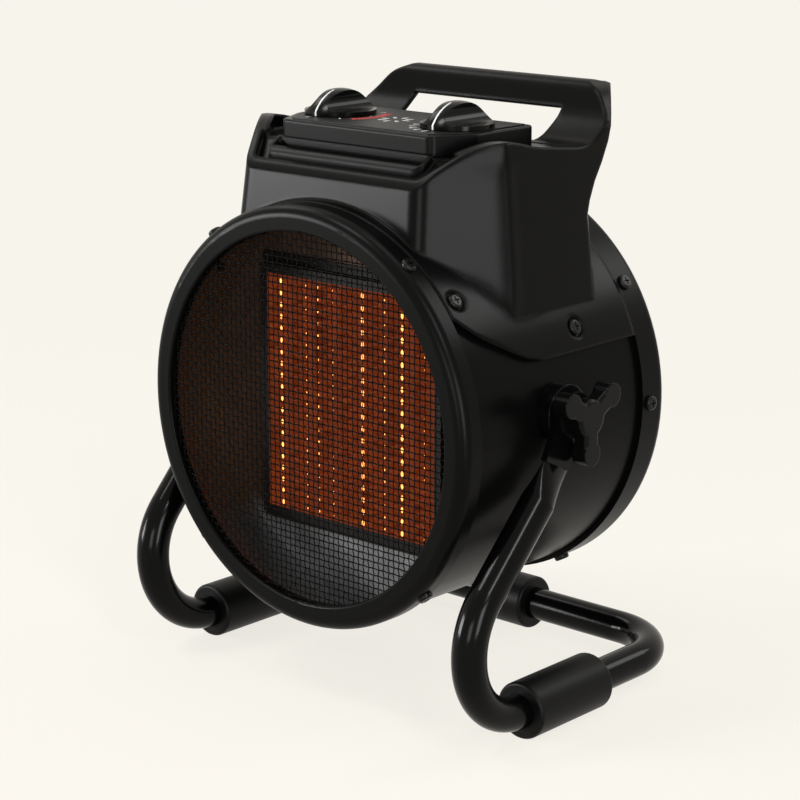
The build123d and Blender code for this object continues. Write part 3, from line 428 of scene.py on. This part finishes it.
@dataclass(frozen=True)
class GlowingFoil(Finish):
    """Foil or ceramic lit red from within, mottled as seen through the fins' folds."""

    glow: str = "7f3517"
    strength: float = 1.0
    low: float = 0.45            # share of the light in the dullest patches
    mottle_mm: float = 2.6       # size of the spots
    spot: tuple[float, float, float] = (1, 0.2, 1)          # stretch of the round spots
    streak: tuple[float, float, float] = (1, 0.2, 0.06)     # stretch of the upright streaks
    streaks: float = 0.45        # share of the streaks in the mottle
    contrast: tuple[float, float] = (0.38, 0.66)            # mottle that is dullest and brightest

    def detail(self, tree: Tree, shader: bpy.types.Node) -> None:
        """Add the mottled glow.

        Args:
            tree: material tree.
            shader: its shader node.
        """
        spots = add_node(tree, "ShaderNodeTexNoise", None, {
            "Vector": self.scaled(tree, self.mottle_mm, self.spot),
            "Scale": 1.0, "Detail": PATCH_DETAIL})
        streaks = add_node(tree, "ShaderNodeTexNoise", None, {
            "Vector": self.scaled(tree, self.mottle_mm, self.streak),
            "Scale": 1.0, "Detail": FINE_DETAIL})
        mottle = add_node(tree, "ShaderNodeMix", {"data_type": "FLOAT"}, {
            0: self.streaks, FLOAT_A: spots.outputs["Fac"], FLOAT_B: streaks.outputs["Fac"]})
        share = add_node(tree, "ShaderNodeMapRange", None, {
            "Value": mottle.outputs[FLOAT_OUT], "From Min": self.contrast[0],
            "From Max": self.contrast[1], "To Min": self.low, "To Max": 1.0})
        light = add_node(tree, "ShaderNodeMix", {"data_type": "RGBA"}, {
            0: share.outputs[0], COLOUR_A: (0, 0, 0, 1), COLOUR_B: srgb(self.glow)})
        tree.links.new(light.outputs[COLOUR_OUT], shader.inputs["Emission Color"])
        shader.inputs["Emission Strength"].default_value = self.strength


class Finishes:
    """The finishes of this heater, each named for its real material."""

    # sheet steel under polyester powder: a soft orange peel over near-black
    SHELL = Finish("powder_coated_steel", "050505", 0.3, specular=0.055, grain_mm=1.6,
                   grain_um=12, drift=0.08)
    # the same coat on the drum, whose inner face is bare zinc with the block's red glow painted on
    # near it
    DRUM = LinedDrum("powder_coated_drum", "050505", 0.28, specular=0.042, grain_mm=1.6,
                     grain_um=12, drift=0.08)
    # stove-enamelled tube: smoother and glossier than the sheet
    TUBE = Finish("enamelled_steel_tube", "040404", 0.15, specular=0.09, grain_mm=2.5,
                  grain_um=8, drift=0.06)
    # spark-eroded ABS moulding: fine even grain, satin, with rounded edges
    HOUSING = SoftKnee("moulded_abs", "050505", 0.26, specular=0.058, grain_mm=0.7,
                       grain_um=9, drift=0.06, edge_mm=2.5)
    # the same moulding, with tighter edges
    PANEL = Finish("moulded_abs_panel", "070707", 0.3, specular=0.07, grain_mm=0.7,
                   grain_um=9, drift=0.06, edge_mm=1.2)
    # screen-printed polycarbonate film: duller and a shade lighter than the moulding
    FILM = Finish("printed_polycarbonate_film", "0d0d0e", 0.45, specular=0.12, grain_mm=0.5,
                  grain_um=4, drift=0.05)
    # polished ABS: the glossiest plastic on the heater
    KNOB = MarkedKnob("polished_abs", "050505", 0.18, specular=0.09, grain_mm=3.0,
                      grain_um=6, drift=0.05)
    # glass-filled nylon: satin, with a faint flow pattern
    NYLON = Finish("glass_filled_nylon", "050505", 0.24, specular=0.09, grain_mm=1.1,
                   grain_um=10, drift=0.12, edge_mm=0.8)
    # moulded EPDM: dull black with a coarse grain
    RUBBER = Finish("moulded_epdm_rubber", "060606", 0.42, specular=0.1, grain_mm=0.8,
                    grain_um=22, drift=0.12)
    # screws blackened in a hot oxide bath: near-black with a faint gleam of metal
    OXIDE = Finish("black_oxide_steel", "0b0b0b", 0.3, metallic=0.3, specular=0.2,
                   grain_mm=0.6, grain_um=8, drift=0.15)
    # wire from the same bath: dull black
    WIRE = Finish("black_oxide_wire", "050505", 0.45, specular=0.04, grain_mm=0.8,
                  grain_um=6, drift=0.1)
    # guard and clamp ring dipped in black paint: a little duller than the powder coat
    GUARD = Finish("painted_steel_guard", "060606", 0.34, specular=0.06, grain_mm=1.6,
                   grain_um=12, drift=0.08)
    # plated shaft and nut: bright and smooth
    ZINC = Finish("bright_zinc_plate", "a5a7a9", 0.3, metallic=1.0, grain_mm=0.5,
                  grain_um=5, drift=0.12)
    # dipped sheet: matt grey with crystals
    SHEET = Galvanised("galvanised_sheet", "77787a", 0.45, metallic=1.0, grain_mm=1.2,
                       grain_um=8, drift=0.25)
    # the same sheet, with the block's red glow and shade painted round the block
    BAFFLE = Baffle("galvanised_baffle", "828384", 0.5, metallic=0.6, grain_mm=1.2,
                    grain_um=8, drift=0.12)
    # clear lacquer over rolled steel: dark grey with a soft gleam
    MOTOR = Finish("lacquered_motor_steel", "4a4b4d", 0.4, metallic=0.8, grain_mm=1.0,
                   grain_um=10, drift=0.12)
    # pressed sheet left bare: light grey with a satin gleam
    FAN = Finish("pressed_aluminium", "9c9d9f", 0.38, metallic=1.0, grain_mm=0.9,
                 grain_um=8, drift=0.12)
    # phenolic resin with mineral filler: brown-black and dull
    FRAME = Finish("phenolic_moulding", "0d0a09", 0.5, specular=0.2, grain_mm=0.9,
                   grain_um=12, drift=0.15)
    # turned brass: yellow and bright
    BRASS = Finish("turned_brass", "b08d4e", 0.3, metallic=1.0, grain_mm=0.6, grain_um=5,
                   drift=0.1)
    # plain polyamide inside the housing: dark grey, satin
    INNER = Finish("plain_polyamide", "2a2a2b", 0.5, grain_mm=1.0, grain_um=10, drift=0.1)
    # the block's foil and ceramic, with the red light that the hot ceramic throws between folds
    FINS = GlowingFoil("hot_aluminium_foil", "1c0c06", 0.6, specular=0.05, grain_mm=1.0,
                       grain_um=10)
    BARS = GlowingFoil("hot_ceramic_bar", "1c0c06", 0.6, specular=0.05, glow="752f13")
    # the folds' tips, where the glow is seen directly
    TIPS = GlowingFoil("hot_fold_tip", "ff9a4a", 0.5, specular=0.2, glow="ffa552",
                       strength=2.8, low=0.8)
    # screen inks: flat and matt
    INK = Finish("white_screen_ink", "b9b9b7", 0.6, grain_mm=0.6, grain_um=3, drift=0.06)
    RED_INK = Finish("red_screen_ink", "9b2018", 0.6, grain_mm=0.6, grain_um=3, drift=0.06)


# ------------------------------------------------------------------------------- makers
def dress(finish: Finish, *names: str) -> None:
    """Give CAD nodes a finish and log them.

    Args:
        finish: what the nodes are made of.
        names: CAD node names.
    """
    for name in names:
        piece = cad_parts[name]
        piece.data.materials.clear()
        piece.data.materials.append(finish.build())
        log.info("%s: %s", name, finish.name)


def nodes_like(prefix: str) -> list[str]:
    """Names of the CAD nodes that start with a prefix, in order."""
    return sorted(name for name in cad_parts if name.startswith(prefix))


def new_tree(name: str, inputs: dict[str, str]) -> tuple[Tree, bpy.types.Node]:
    """Start a Geometry Nodes tree.

    Args:
        name: tree name.
        inputs: input name to socket type.

    Returns:
        The tree and its group input node.
    """
    tree = bpy.data.node_groups.new(name, "GeometryNodeTree")
    tree.interface.new_socket("Geometry", in_out="OUTPUT", socket_type="NodeSocketGeometry")
    for key, kind in inputs.items():
        tree.interface.new_socket(key, in_out="INPUT", socket_type=kind)
    return tree, add_node(tree, "NodeGroupInput")


def end_tree(tree: Tree, geometry: Socket, finish: Finish) -> None:
    """Close a tree with Realize Instances, smooth shading and Set Material.

    Args:
        tree: Geometry Nodes tree.
        geometry: socket of the finished shape.
        finish: what it is made of.
    """
    real = add_node(tree, "GeometryNodeRealizeInstances", None, {0: geometry})
    smooth = add_node(tree, "GeometryNodeSetShadeSmooth", None, {0: real.outputs[0]})
    painted = add_node(tree, "GeometryNodeSetMaterial", None,
                       {"Geometry": smooth.outputs[0], "Material": finish.build()})
    add_node(tree, "NodeGroupOutput", None, {0: painted.outputs[0]})


def plain_mesh(name: str, tree: Tree, sizes: dict[str, float | int]) -> bpy.types.Object:
    """Run a Geometry Nodes tree and keep its result as a plain mesh object.

    Args:
        name: name of the piece.
        tree: Geometry Nodes tree with named inputs.
        sizes: input name to value.

    Returns:
        Object at the origin with no modifier.
    """
    piece = bpy.data.objects.new(name, bpy.data.meshes.new(name + "_seed"))
    bpy.context.scene.collection.objects.link(piece)
    modifier = piece.modifiers.new("nodes", "NODES")
    modifier.node_group = tree
    for item in tree.interface.items_tree:
        if item.item_type == "SOCKET" and item.in_out == "INPUT" and item.name in sizes:
            modifier[item.identifier] = sizes[item.name]
    bpy.context.view_layer.update()
    graph = bpy.context.evaluated_depsgraph_get()
    mesh = bpy.data.meshes.new_from_object(piece.evaluated_get(graph))
    piece.modifiers.clear()
    piece.data = mesh
    mesh.name = name
    log.info("%s: %d faces", name, len(mesh.polygons))
    return piece


def mesh_object(name: str, work: bmesh.types.BMesh,
                material: bpy.types.Material) -> bpy.types.Object:
    """Turn a bmesh into an object at the origin.

    Args:
        name: name of the object.
        work: its shape in scene metres; it is freed.
        material: what it is made of.

    Returns:
        The new object.
    """
    mesh = bpy.data.meshes.new(name)
    work.to_mesh(mesh)
    work.free()
    mesh.materials.append(material)
    piece = bpy.data.objects.new(name, mesh)
    bpy.context.scene.collection.objects.link(piece)
    log.info("%s: %d faces", name, len(mesh.polygons))
    return piece


# ------------------------------------------------------------------------------- sub-assemblies
@dataclass
class Casing:
    """Drum, its two rolled hoops, the guard and every screw that shows."""

    def build(self) -> None:
        """Dress the casing's nodes."""
        dress(Finishes.DRUM, "drum_shell")
        dress(Finishes.SHELL, "front_hoop", "rear_hoop")
        dress(Finishes.GUARD, "rear_grille", "mesh_ring")
        for kind in ("front_hoop_screw", "rear_hoop_screw", "saddle_screw"):
            dress(Finishes.OXIDE, *nodes_like(kind))


@dataclass
class WireCloth:
    """Plain-woven wire cloth behind the front hoop, made by Geometry Nodes.

    A real cloth of this kind has about 2.5 mm from wire to wire; it is drawn a little coarser,
    so that the single wires show.
    """

    radius: float = 0.0795       # where the wires are cut off
    pitch: float = 0.0028        # from wire to wire
    wire_r: float = 0.0003
    wave: float = 0.00031        # how far a wire swings to each side of the cloth's plane
    plane_y: float = FRONT_Y + 0.0026           # middle of the cloth
    wire_sides: int = 4
    bends: int = 2               # points on a wire for each pitch

    def half_count(self) -> int:
        """Wires on each side of the middle one."""
        return int(self.radius / self.pitch)

    def swing(self, tree: Tree, start: bpy.types.Node, place: Socket, sign: float) -> Socket:
        """Offset that carries a wire over and under the wires it crosses.

        Args:
            tree: Geometry Nodes tree.
            start: its group input node.
            place: position of each point.
            sign: 1 for one set of wires, -1 for the other.

        Returns:
            Vector socket.
        """
        axes = add_node(tree, "ShaderNodeSeparateXYZ", None, {0: place})
        waves = []
        for axis in (0, 2):
            share = add_node(tree, "ShaderNodeMath", {"operation": "DIVIDE"},
                             {0: axes.outputs[axis], 1: start.outputs["Pitch"]})
            angle = add_node(tree, "ShaderNodeMath", {"operation": "MULTIPLY"},
                             {0: share.outputs[0], 1: math.pi})
            waves.append(add_node(tree, "ShaderNodeMath", {"operation": "COSINE"},
                                  {0: angle.outputs[0]}).outputs[0])
        both = add_node(tree, "ShaderNodeMath", {"operation": "MULTIPLY"},
                        {0: waves[0], 1: waves[1]})
        high = add_node(tree, "ShaderNodeMath", {"operation": "MULTIPLY"},
                        {0: both.outputs[0], 1: start.outputs["Wave"]})
        signed = add_node(tree, "ShaderNodeMath", {"operation": "MULTIPLY"},
                          {0: high.outputs[0], 1: sign})
        return add_node(tree, "ShaderNodeCombineXYZ", None, {1: signed.outputs[0]}).outputs[0]

    def wires(self, tree: Tree, start: bpy.types.Node, turn: float, sign: float) -> Socket:
        """One set of parallel wires, cut off at the cloth's edge.

        Args:
            tree: Geometry Nodes tree.
            start: its group input node.
            turn: angle of the set about Y.
            sign: 1 for one set of wires, -1 for the other.

        Returns:
            Geometry socket with one curve for each wire.
        """
        half = self.half_count()
        line = add_node(tree, "GeometryNodeCurvePrimitiveLine", None,
                        {"Start": (-half * self.pitch, 0, 0), "End": (half * self.pitch, 0, 0)})
        wire = add_node(tree, "GeometryNodeResampleCurve", None,
                        {"Curve": line.outputs[0], "Count": 2 * half * self.bends + 1})
        places = add_node(tree, "GeometryNodeMeshLine", None, {
            "Count": 2 * half + 1, "Start Location": (0, 0, -half * self.pitch),
            "Offset": (0, 0, self.pitch)})
        copies = add_node(tree, "GeometryNodeInstanceOnPoints", None,
                          {"Points": places.outputs[0], "Instance": wire.outputs[0]})
        real = add_node(tree, "GeometryNodeRealizeInstances", None, {0: copies.outputs[0]})
        turned = add_node(tree, "GeometryNodeTransform", None,
                          {"Geometry": real.outputs[0], "Rotation": (0, turn, 0)})
        place = add_node(tree, "GeometryNodeInputPosition").outputs[0]
        woven = add_node(tree, "GeometryNodeSetPosition", None, {
            "Geometry": turned.outputs[0], "Offset": self.swing(tree, start, place, sign)})
        reach = add_node(tree, "ShaderNodeVectorMath", {"operation": "LENGTH"}, {0: place})
        outside = add_node(tree, "ShaderNodeMath", {"operation": "GREATER_THAN"},
                           {0: reach.outputs["Value"], 1: start.outputs["Radius"]})
        return add_node(tree, "GeometryNodeDeleteGeometry", {"domain": "POINT"}, {
            "Geometry": woven.outputs[0], "Selection": outside.outputs[0]}).outputs[0]

    def tree(self) -> Tree:
        """Wires along X and Z that pass over and under each other inside a circle.

        Returns:
            Geometry Nodes tree.
        """
        tree, start = new_tree("wire_cloth", dict.fromkeys(
            ("Radius", "Pitch", "Wire radius", "Wave"), FLOAT))
        joined = add_node(tree, "GeometryNodeJoinGeometry")
        for turn, sign in ((0.0, 1.0), (math.pi / 2, -1.0)):
            tree.links.new(self.wires(tree, start, turn, sign), joined.inputs[0])
        section = add_node(tree, "GeometryNodeCurvePrimitiveCircle", None, {
            "Resolution": self.wire_sides, "Radius": start.outputs["Wire radius"]})
        tubes = add_node(tree, "GeometryNodeCurveToMesh", None, {
            "Curve": joined.outputs[0], "Profile Curve": section.outputs[0], "Fill Caps": True})
        placed = add_node(tree, "GeometryNodeTransform", None, {
            "Geometry": tubes.outputs[0], "Translation": (0, self.plane_y, AXLE_Z)})
        end_tree(tree, placed.outputs[0], Finishes.WIRE)
        return tree

    def build(self) -> None:
        """Make the cloth and let it stand for the coarse CAD net."""
        cloth = plain_mesh("wire_cloth", self.tree(), {
            "Radius": self.radius, "Pitch": self.pitch, "Wire radius": self.wire_r,
            "Wave": self.wave})
        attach(cloth, "heater")
        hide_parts("front_mesh")


@dataclass
class HeatingBlock:
    """Ceramic bars and folded fins, the frame round them and the plate that carries it."""

    fold: float = 0.0052         # pitch of the fins' folds
    tip: tuple[float, float, float] = (0.0007, 0.0002, 0.0013)    # half sizes of a fold tip
    plate: float = 0.0006        # thickness of the plates round the fins
    # place across the block of each column of bright tips, and its size as a share of the tip
    columns: tuple[tuple[float, float], ...] = (
        (-0.0394, 0.95), (-0.0245, 0.34), (-0.0175, 0.5), (-0.0090, 0.42),
        (0.0083, 1.2), (0.0208, 0.4), (0.0306, 1.1), (0.0430, 0.34))

    def tip_tree(self) -> Tree:
        """Columns of small beads, one at each fold of the fins.

        Returns:
            Geometry Nodes tree.
        """
        tree, start = new_tree("fold_tips", dict.fromkeys(("Fold", "Height"), FLOAT))
        fold, height = start.outputs["Fold"], start.outputs["Height"]
        bead = add_node(tree, "GeometryNodeMeshIcoSphere", None, {"Radius": 1.0, "Subdivisions": 1})
        count = add_node(tree, "ShaderNodeMath", {"operation": "DIVIDE"}, {0: height, 1: fold})
        bottom = add_node(tree, "ShaderNodeMath", {"operation": "MULTIPLY"}, {0: height, 1: -0.5})
        lowest = add_node(tree, "ShaderNodeMath", {"operation": "MULTIPLY_ADD"},
                          {0: fold, 1: 0.5, 2: bottom.outputs[0]})
        step = add_node(tree, "ShaderNodeCombineXYZ", None, {2: fold})
        joined = add_node(tree, "GeometryNodeJoinGeometry")
        for place, size in self.columns:
            first = add_node(tree, "ShaderNodeCombineXYZ", None, {0: place, 2: lowest.outputs[0]})
            points = add_node(tree, "GeometryNodeMeshLine", None, {
                "Count": count.outputs[0], "Start Location": first.outputs[0],
                "Offset": step.outputs[0]})
            beads = add_node(tree, "GeometryNodeInstanceOnPoints", None, {
                "Points": points.outputs[0], "Instance": bead.outputs[0],
                "Scale": [half * size for half in self.tip]})
            tree.links.new(beads.outputs[0], joined.inputs[0])
        placed = add_node(tree, "GeometryNodeTransform", None, {
            "Geometry": joined.outputs[0],
            "Translation": (0, BLOCK_FRONT - self.tip[1], AXLE_Z)})
        end_tree(tree, placed.outputs[0], Finishes.TIPS)
        return tree

    def end_plates(self) -> bpy.types.Object:
        """Thin plates round the fins, which give the glowing field its straight sides.

        Returns:
            The plates as one object.
        """
        work = bmesh.new()
        half_w, half_h = BLOCK_HALF
        middle_y, depth = (BLOCK_FRONT + BLOCK_BACK) / 2, BLOCK_BACK - BLOCK_FRONT
        for sign in (-1, 1):
            upright = (sign * (half_w - self.plate / 2), 0.0, self.plate, 2 * half_h)
            level = (0.0, sign * (half_h - self.plate / 2), 2 * (half_w - self.plate), self.plate)
            for x, z, width, height in (upright, level):
                cube = bmesh.ops.create_cube(work, size=1.0)
                bmesh.ops.scale(work, vec=(width, depth, height), verts=cube["verts"])
                bmesh.ops.translate(work, vec=(x, middle_y, AXLE_Z + z), verts=cube["verts"])
        return mesh_object("ptc_end_plates", work, Finishes.FINS.build())

    def build(self) -> None:
        """Dress the block and add its bright fold tips and the plates round its fins."""
        tips = plain_mesh("ptc_fold_tips", self.tip_tree(),
                          {"Fold": self.fold, "Height": 2 * BLOCK_HALF[1]})
        for piece in (tips, self.end_plates()):
            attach(piece, "heater")
        dress(Finishes.FINS, "ptc_fins")
        dress(Finishes.BARS, "ptc_bars")
        dress(Finishes.FRAME, "ptc_frame")
        dress(Finishes.BAFFLE, "baffle_plate")
        dress(Finishes.SHEET, "thermal_cutout")


@dataclass
class AirMover:
    """Fan, motor and bracket behind the heating block."""

    def build(self) -> None:
        """Dress the fan and its motor."""
        dress(Finishes.FAN, "fan_impeller")
        dress(Finishes.MOTOR, "fan_motor")
        dress(Finishes.SHEET, "motor_bracket")
        dress(Finishes.ZINC, "motor_shaft", "impeller_nut")


@dataclass
class Saddle:
    """Moulded housing with its grip, and the cord's gland at the rear."""

    def build(self) -> None:
        """Dress the housing, its gland and the terminals inside."""
        dress(Finishes.HOUSING, "top_housing")
        dress(Finishes.NYLON, "cable_gland", "gland_nut")
        dress(Finishes.INNER, "terminal_block")


@dataclass(frozen=True)
class Marks:
    """Bars that stand round a centre like the marks of a dial, in metres and degrees."""

    ink: Finish
    middle: float                # X of the centre
    radius: float
    count: int
    start: float                 # angle of the first bar
    sweep: float                 # angle from the first bar to the last
    length: float                # length of the first bar
    width: float
    growth: float = 0.0          # what each next bar is longer


class Print(Enum):
    """What is printed on the film."""

    FUNCTION = Marks(Finishes.INK, -KNOB_X, 0.0184, 5, -95.0, 190.0, 0.0024, 0.0008)
    POWER = Marks(Finishes.RED_INK, -KNOB_X, 0.0204, 9, -30.0, 60.0, 0.0040, 0.0026)
    WARMTH = Marks(Finishes.INK, KNOB_X, 0.0184, 11, 95.0, 170.0, 0.0016, 0.0013, 0.0002)
    SUN = Marks(Finishes.INK, -0.001, 0.0058, 8, 0.0, 315.0, 0.0036, 0.0016)


@dataclass
class Controls:
    """Panel cap, printed film with its marks and the two turning knobs."""

    ink_t: float = 0.00006       # thickness of the print

    def mark_tree(self, ink: Finish) -> Tree:
        """Bars that stand round a centre like the marks of a dial.

        Args:
            ink: what they are printed with.

        Returns:
            Geometry Nodes tree.
        """
        tree, start = new_tree("dial_marks", {"Count": INT, **dict.fromkeys(
            ("Middle", "Radius", "Start", "Sweep", "Length", "Growth", "Width"), FLOAT)})
        size = start.outputs
        line = add_node(tree, "GeometryNodeMeshLine", None, {"Count": size["Count"]})
        number = add_node(tree, "GeometryNodeInputIndex").outputs[0]
        gaps = add_node(tree, "ShaderNodeMath", {"operation": "SUBTRACT"},
                        {0: size["Count"], 1: 1.0})
        step = add_node(tree, "ShaderNodeMath", {"operation": "DIVIDE"},
                        {0: size["Sweep"], 1: gaps.outputs[0]})
        turn = add_node(tree, "ShaderNodeMath", {"operation": "MULTIPLY_ADD"},
                        {0: number, 1: step.outputs[0], 2: size["Start"]})
        angle = add_node(tree, "ShaderNodeMath", {"operation": "RADIANS"},
                         {0: turn.outputs[0]}).outputs[0]
        places = []
        for wave in ("COSINE", "SINE"):
            share = add_node(tree, "ShaderNodeMath", {"operation": wave}, {0: angle})
            places.append(add_node(tree, "ShaderNodeMath", {"operation": "MULTIPLY"},
                                   {0: share.outputs[0], 1: size["Radius"]}).outputs[0])
        spot = add_node(tree, "ShaderNodeCombineXYZ", None, {0: places[0], 1: places[1]})
        points = add_node(tree, "GeometryNodeSetPosition", None,
                          {0: line.outputs[0], "Position": spot.outputs[0]})
        length = add_node(tree, "ShaderNodeMath", {"operation": "MULTIPLY_ADD"},
                          {0: number, 1: size["Growth"], 2: size["Length"]})
        scale = add_node(tree, "ShaderNodeCombineXYZ", None,
                         {0: length.outputs[0], 1: size["Width"], 2: self.ink_t})
        facing = add_node(tree, "ShaderNodeCombineXYZ", None, {2: angle})
        bar = add_node(tree, "GeometryNodeMeshCube")
        marks = add_node(tree, "GeometryNodeInstanceOnPoints", None, {
            "Points": points.outputs[0], "Instance": bar.outputs[0],
            "Rotation": facing.outputs[0], "Scale": scale.outputs[0]})
        shift = add_node(tree, "ShaderNodeCombineXYZ", None,
                         {0: size["Middle"], 1: KNOB_Y, 2: FILM_TOP + self.ink_t / 2})
        placed = add_node(tree, "GeometryNodeTransform", None,
                          {"Geometry": marks.outputs[0], "Translation": shift.outputs[0]})
        end_tree(tree, placed.outputs[0], ink)
        return tree

    def print_marks(self) -> None:
        """Print every group of marks on the film."""
        for group in Print:
            size = group.value
            marks = plain_mesh(f"print_{group.name.lower()}", self.mark_tree(size.ink), {
                "Middle": size.middle, "Radius": size.radius, "Count": size.count,
                "Start": size.start, "Sweep": size.sweep, "Length": size.length,
                "Growth": size.growth, "Width": size.width})
            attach(marks, "heater")

    def build(self) -> None:
        """Print the film and dress the controls."""
        dress(Finishes.PANEL, "control_panel")
        dress(Finishes.FILM, "panel_overlay")
        self.print_marks()
        dress(Finishes.KNOB, *(f"{side.knob}_knob" for side in Side))
        dress(Finishes.BRASS, *(f"{side.knob}_spindle" for side in Side))
        dress(Finishes.INNER, "function_body")
        dress(Finishes.SHEET, "thermostat_body")


@dataclass
class Stand:
    """Bent tube with its three rubber sleeves."""

    def build(self) -> None:
        """Dress the stand."""
        dress(Finishes.TUBE, "stand_tube", "arm_eye_left", "arm_eye_right")
        dress(Finishes.RUBBER, "foot_sleeve_left", "foot_sleeve_right", "rear_sleeve")


@dataclass
class TiltPivots:
    """Boss, stud, washer and clamp knob on each side."""

    def build(self) -> None:
        """Dress both pivots."""
        for side in Side:
            dress(Finishes.NYLON, f"pivot_boss_{side.label}", f"clamp_knob_{side.label}")
            dress(Finishes.OXIDE, f"pivot_stud_{side.label}", f"pivot_washer_{side.label}")


# ------------------------------------------------------------------------------- studio
@dataclass(frozen=True)
class Softbox:
    """A rectangular lamp, aimed at the heater."""

    name: str
    place: tuple[float, float, float]
    size: tuple[float, float]
    watts: float


@dataclass
class Studio:
    """Pale floor, soft light and the camera at the photo's view."""

    backdrop: str = "f7f4ec"
    floor_r: float = 14.0
    floor_sides: int = 96
    # near the heater the floor takes part of its light from the lamps, and so keeps the shadow
    near: float = 0.15
    far: float = 1.2
    near_share: float = 0.85     # share of the plain backdrop colour near the heater
    ambient: float = 0.25
    camera_place: tuple[float, float, float] = (0.6524, -0.7357, 0.3721)
    camera_turn: tuple[float, float, float] = (math.radians(75.642), 0.0, math.radians(42.012))
    lens_mm: float = 104.43
    sensor_mm: float = 36.0
    clip_start: float = 0.01
    aim: tuple[float, float, float] = (0, 0, 0.13)
    lamps: tuple[Softbox, ...] = (
        Softbox("front_left", (-1.66, -1.52, 0.44), (0.9, 0.6), 48.0),
        Softbox("high_left", (-1.7, 0.05, 1.85), (0.8, 0.8), 8.0),
        Softbox("high_front", (-0.69, -0.98, 1.98), (0.4, 0.4), 14.0),
        Softbox("front_right", (1.05, -0.47, 0.28), (0.3, 0.5), 6.0),
        Softbox("front", (0.75, -1.7, 0.4), (0.6, 0.6), 8.0),
        Softbox("high_right", (1.48, -0.69, 1.6), (0.22, 0.8), 14.0),
        Softbox("back_right", (0.85, 1.68, 1.42), (0.7, 0.7), 9.0),
        Softbox("top", (0.1, 0.2, 2.3), (1.0, 1.0), 8.0),
    )

    def seen(self, tree: Tree) -> Socket:
        """Tell what is looked at from light that falls on the heater.

        Args:
            tree: tree of the floor's material or of the world.

        Returns:
            Value socket: 1 for the camera, a reflection or a refraction, otherwise 0.
        """
        path = add_node(tree, "ShaderNodeLightPath")
        direct = add_node(tree, "ShaderNodeMath", {"operation": "MAXIMUM"}, {
            0: path.outputs["Is Camera Ray"], 1: path.outputs["Is Glossy Ray"]})
        return add_node(tree, "ShaderNodeMath", {"operation": "MAXIMUM"}, {
            0: direct.outputs[0], 1: path.outputs["Is Transmission Ray"]}).outputs[0]

    def floor_paper(self) -> bpy.types.Material:
        """Pale paper that fades from lit to plain with the distance from the heater.

        Returns:
            The floor's material.
        """
        material = bpy.data.materials.new("pale_floor_paper")
        material.use_nodes = True
        tree = material.node_tree
        tree.nodes.clear()
        lit = add_node(tree, "ShaderNodeBsdfDiffuse", None, {"Color": srgb(self.backdrop)})
        plain = add_node(tree, "ShaderNodeEmission", None,
                         {"Color": srgb(self.backdrop), "Strength": 1.0})
        place = add_node(tree, "ShaderNodeTexCoord")
        away = add_node(tree, "ShaderNodeVectorMath", {"operation": "LENGTH"},
                        {0: place.outputs["Object"]})
        plainness = add_node(tree, "ShaderNodeMapRange", {"interpolation_type": "SMOOTHSTEP"}, {
            "Value": away.outputs["Value"], "From Min": self.near, "From Max": self.far,
            "To Min": self.near_share, "To Max": 1.0})
        share = add_node(tree, "ShaderNodeMath", {"operation": "MULTIPLY"},
                         {0: self.seen(tree), 1: plainness.outputs[0]})
        mixed = add_node(tree, "ShaderNodeMixShader", None,
                         {0: share.outputs[0], 1: lit.outputs[0], 2: plain.outputs[0]})
        add_node(tree, "ShaderNodeOutputMaterial", None, {"Surface": mixed.outputs[0]})
        return material

    def floor(self) -> None:
        """Lay the floor, a large disc."""
        work = bmesh.new()
        bmesh.ops.create_circle(work, cap_ends=True, segments=self.floor_sides,
                                radius=self.floor_r)
        floor = mesh_object("floor", work, self.floor_paper())

    def world(self) -> None:
        """Surround the scene with the backdrop's colour, dimmed where it lights the heater."""
        world = bpy.data.worlds.new("studio")
        bpy.context.scene.world = world
        world.use_nodes = True
        tree = world.node_tree
        tree.nodes.clear()
        strength = add_node(tree, "ShaderNodeMapRange", None,
                            {"Value": self.seen(tree), "To Min": self.ambient, "To Max": 1.0})
        shade = add_node(tree, "ShaderNodeBackground", None,
                         {"Color": srgb(self.backdrop), "Strength": strength.outputs[0]})
        add_node(tree, "ShaderNodeOutputWorld", None, {"Surface": shade.outputs[0]})

    def light(self) -> None:
        """Hang the softboxes."""
        for box in self.lamps:
            lamp = bpy.data.lights.new(box.name, "AREA")
            lamp.shape = "RECTANGLE"
            lamp.size, lamp.size_y = box.size
            lamp.energy = box.watts
            holder = bpy.data.objects.new(box.name, lamp)
            holder.location = box.place
            toward = Vector(self.aim) - Vector(box.place)
            holder.rotation_euler = toward.to_track_quat("-Z", "Y").to_euler()
            bpy.context.scene.collection.objects.link(holder)

    def camera(self) -> None:
        """Set up the camera at the photo's angle and distance."""
        lens = bpy.data.cameras.new("camera")
        lens.lens = self.lens_mm
        lens.sensor_width = self.sensor_mm
        lens.clip_start = self.clip_start
        holder = bpy.data.objects.new("camera", lens)
        holder.location = self.camera_place
        holder.rotation_euler = Euler(self.camera_turn)
        bpy.context.scene.collection.objects.link(holder)
        bpy.context.scene.camera = holder

    def build(self) -> None:
        """Set the stage."""
        bpy.context.scene.view_settings.view_transform = "Standard"
        self.floor()
        self.world()
        self.light()
        self.camera()


def main() -> None:
    """Build every sub-assembly in order."""
    logging.basicConfig(level=logging.INFO, format="%(name)s %(message)s")
    for assembly in (Casing(), WireCloth(), HeatingBlock(), AirMover(), Saddle(), Controls(),
                     Stand(), TiltPivots(), Studio()):
        assembly.build()


if __name__ == "__main__":
    main()
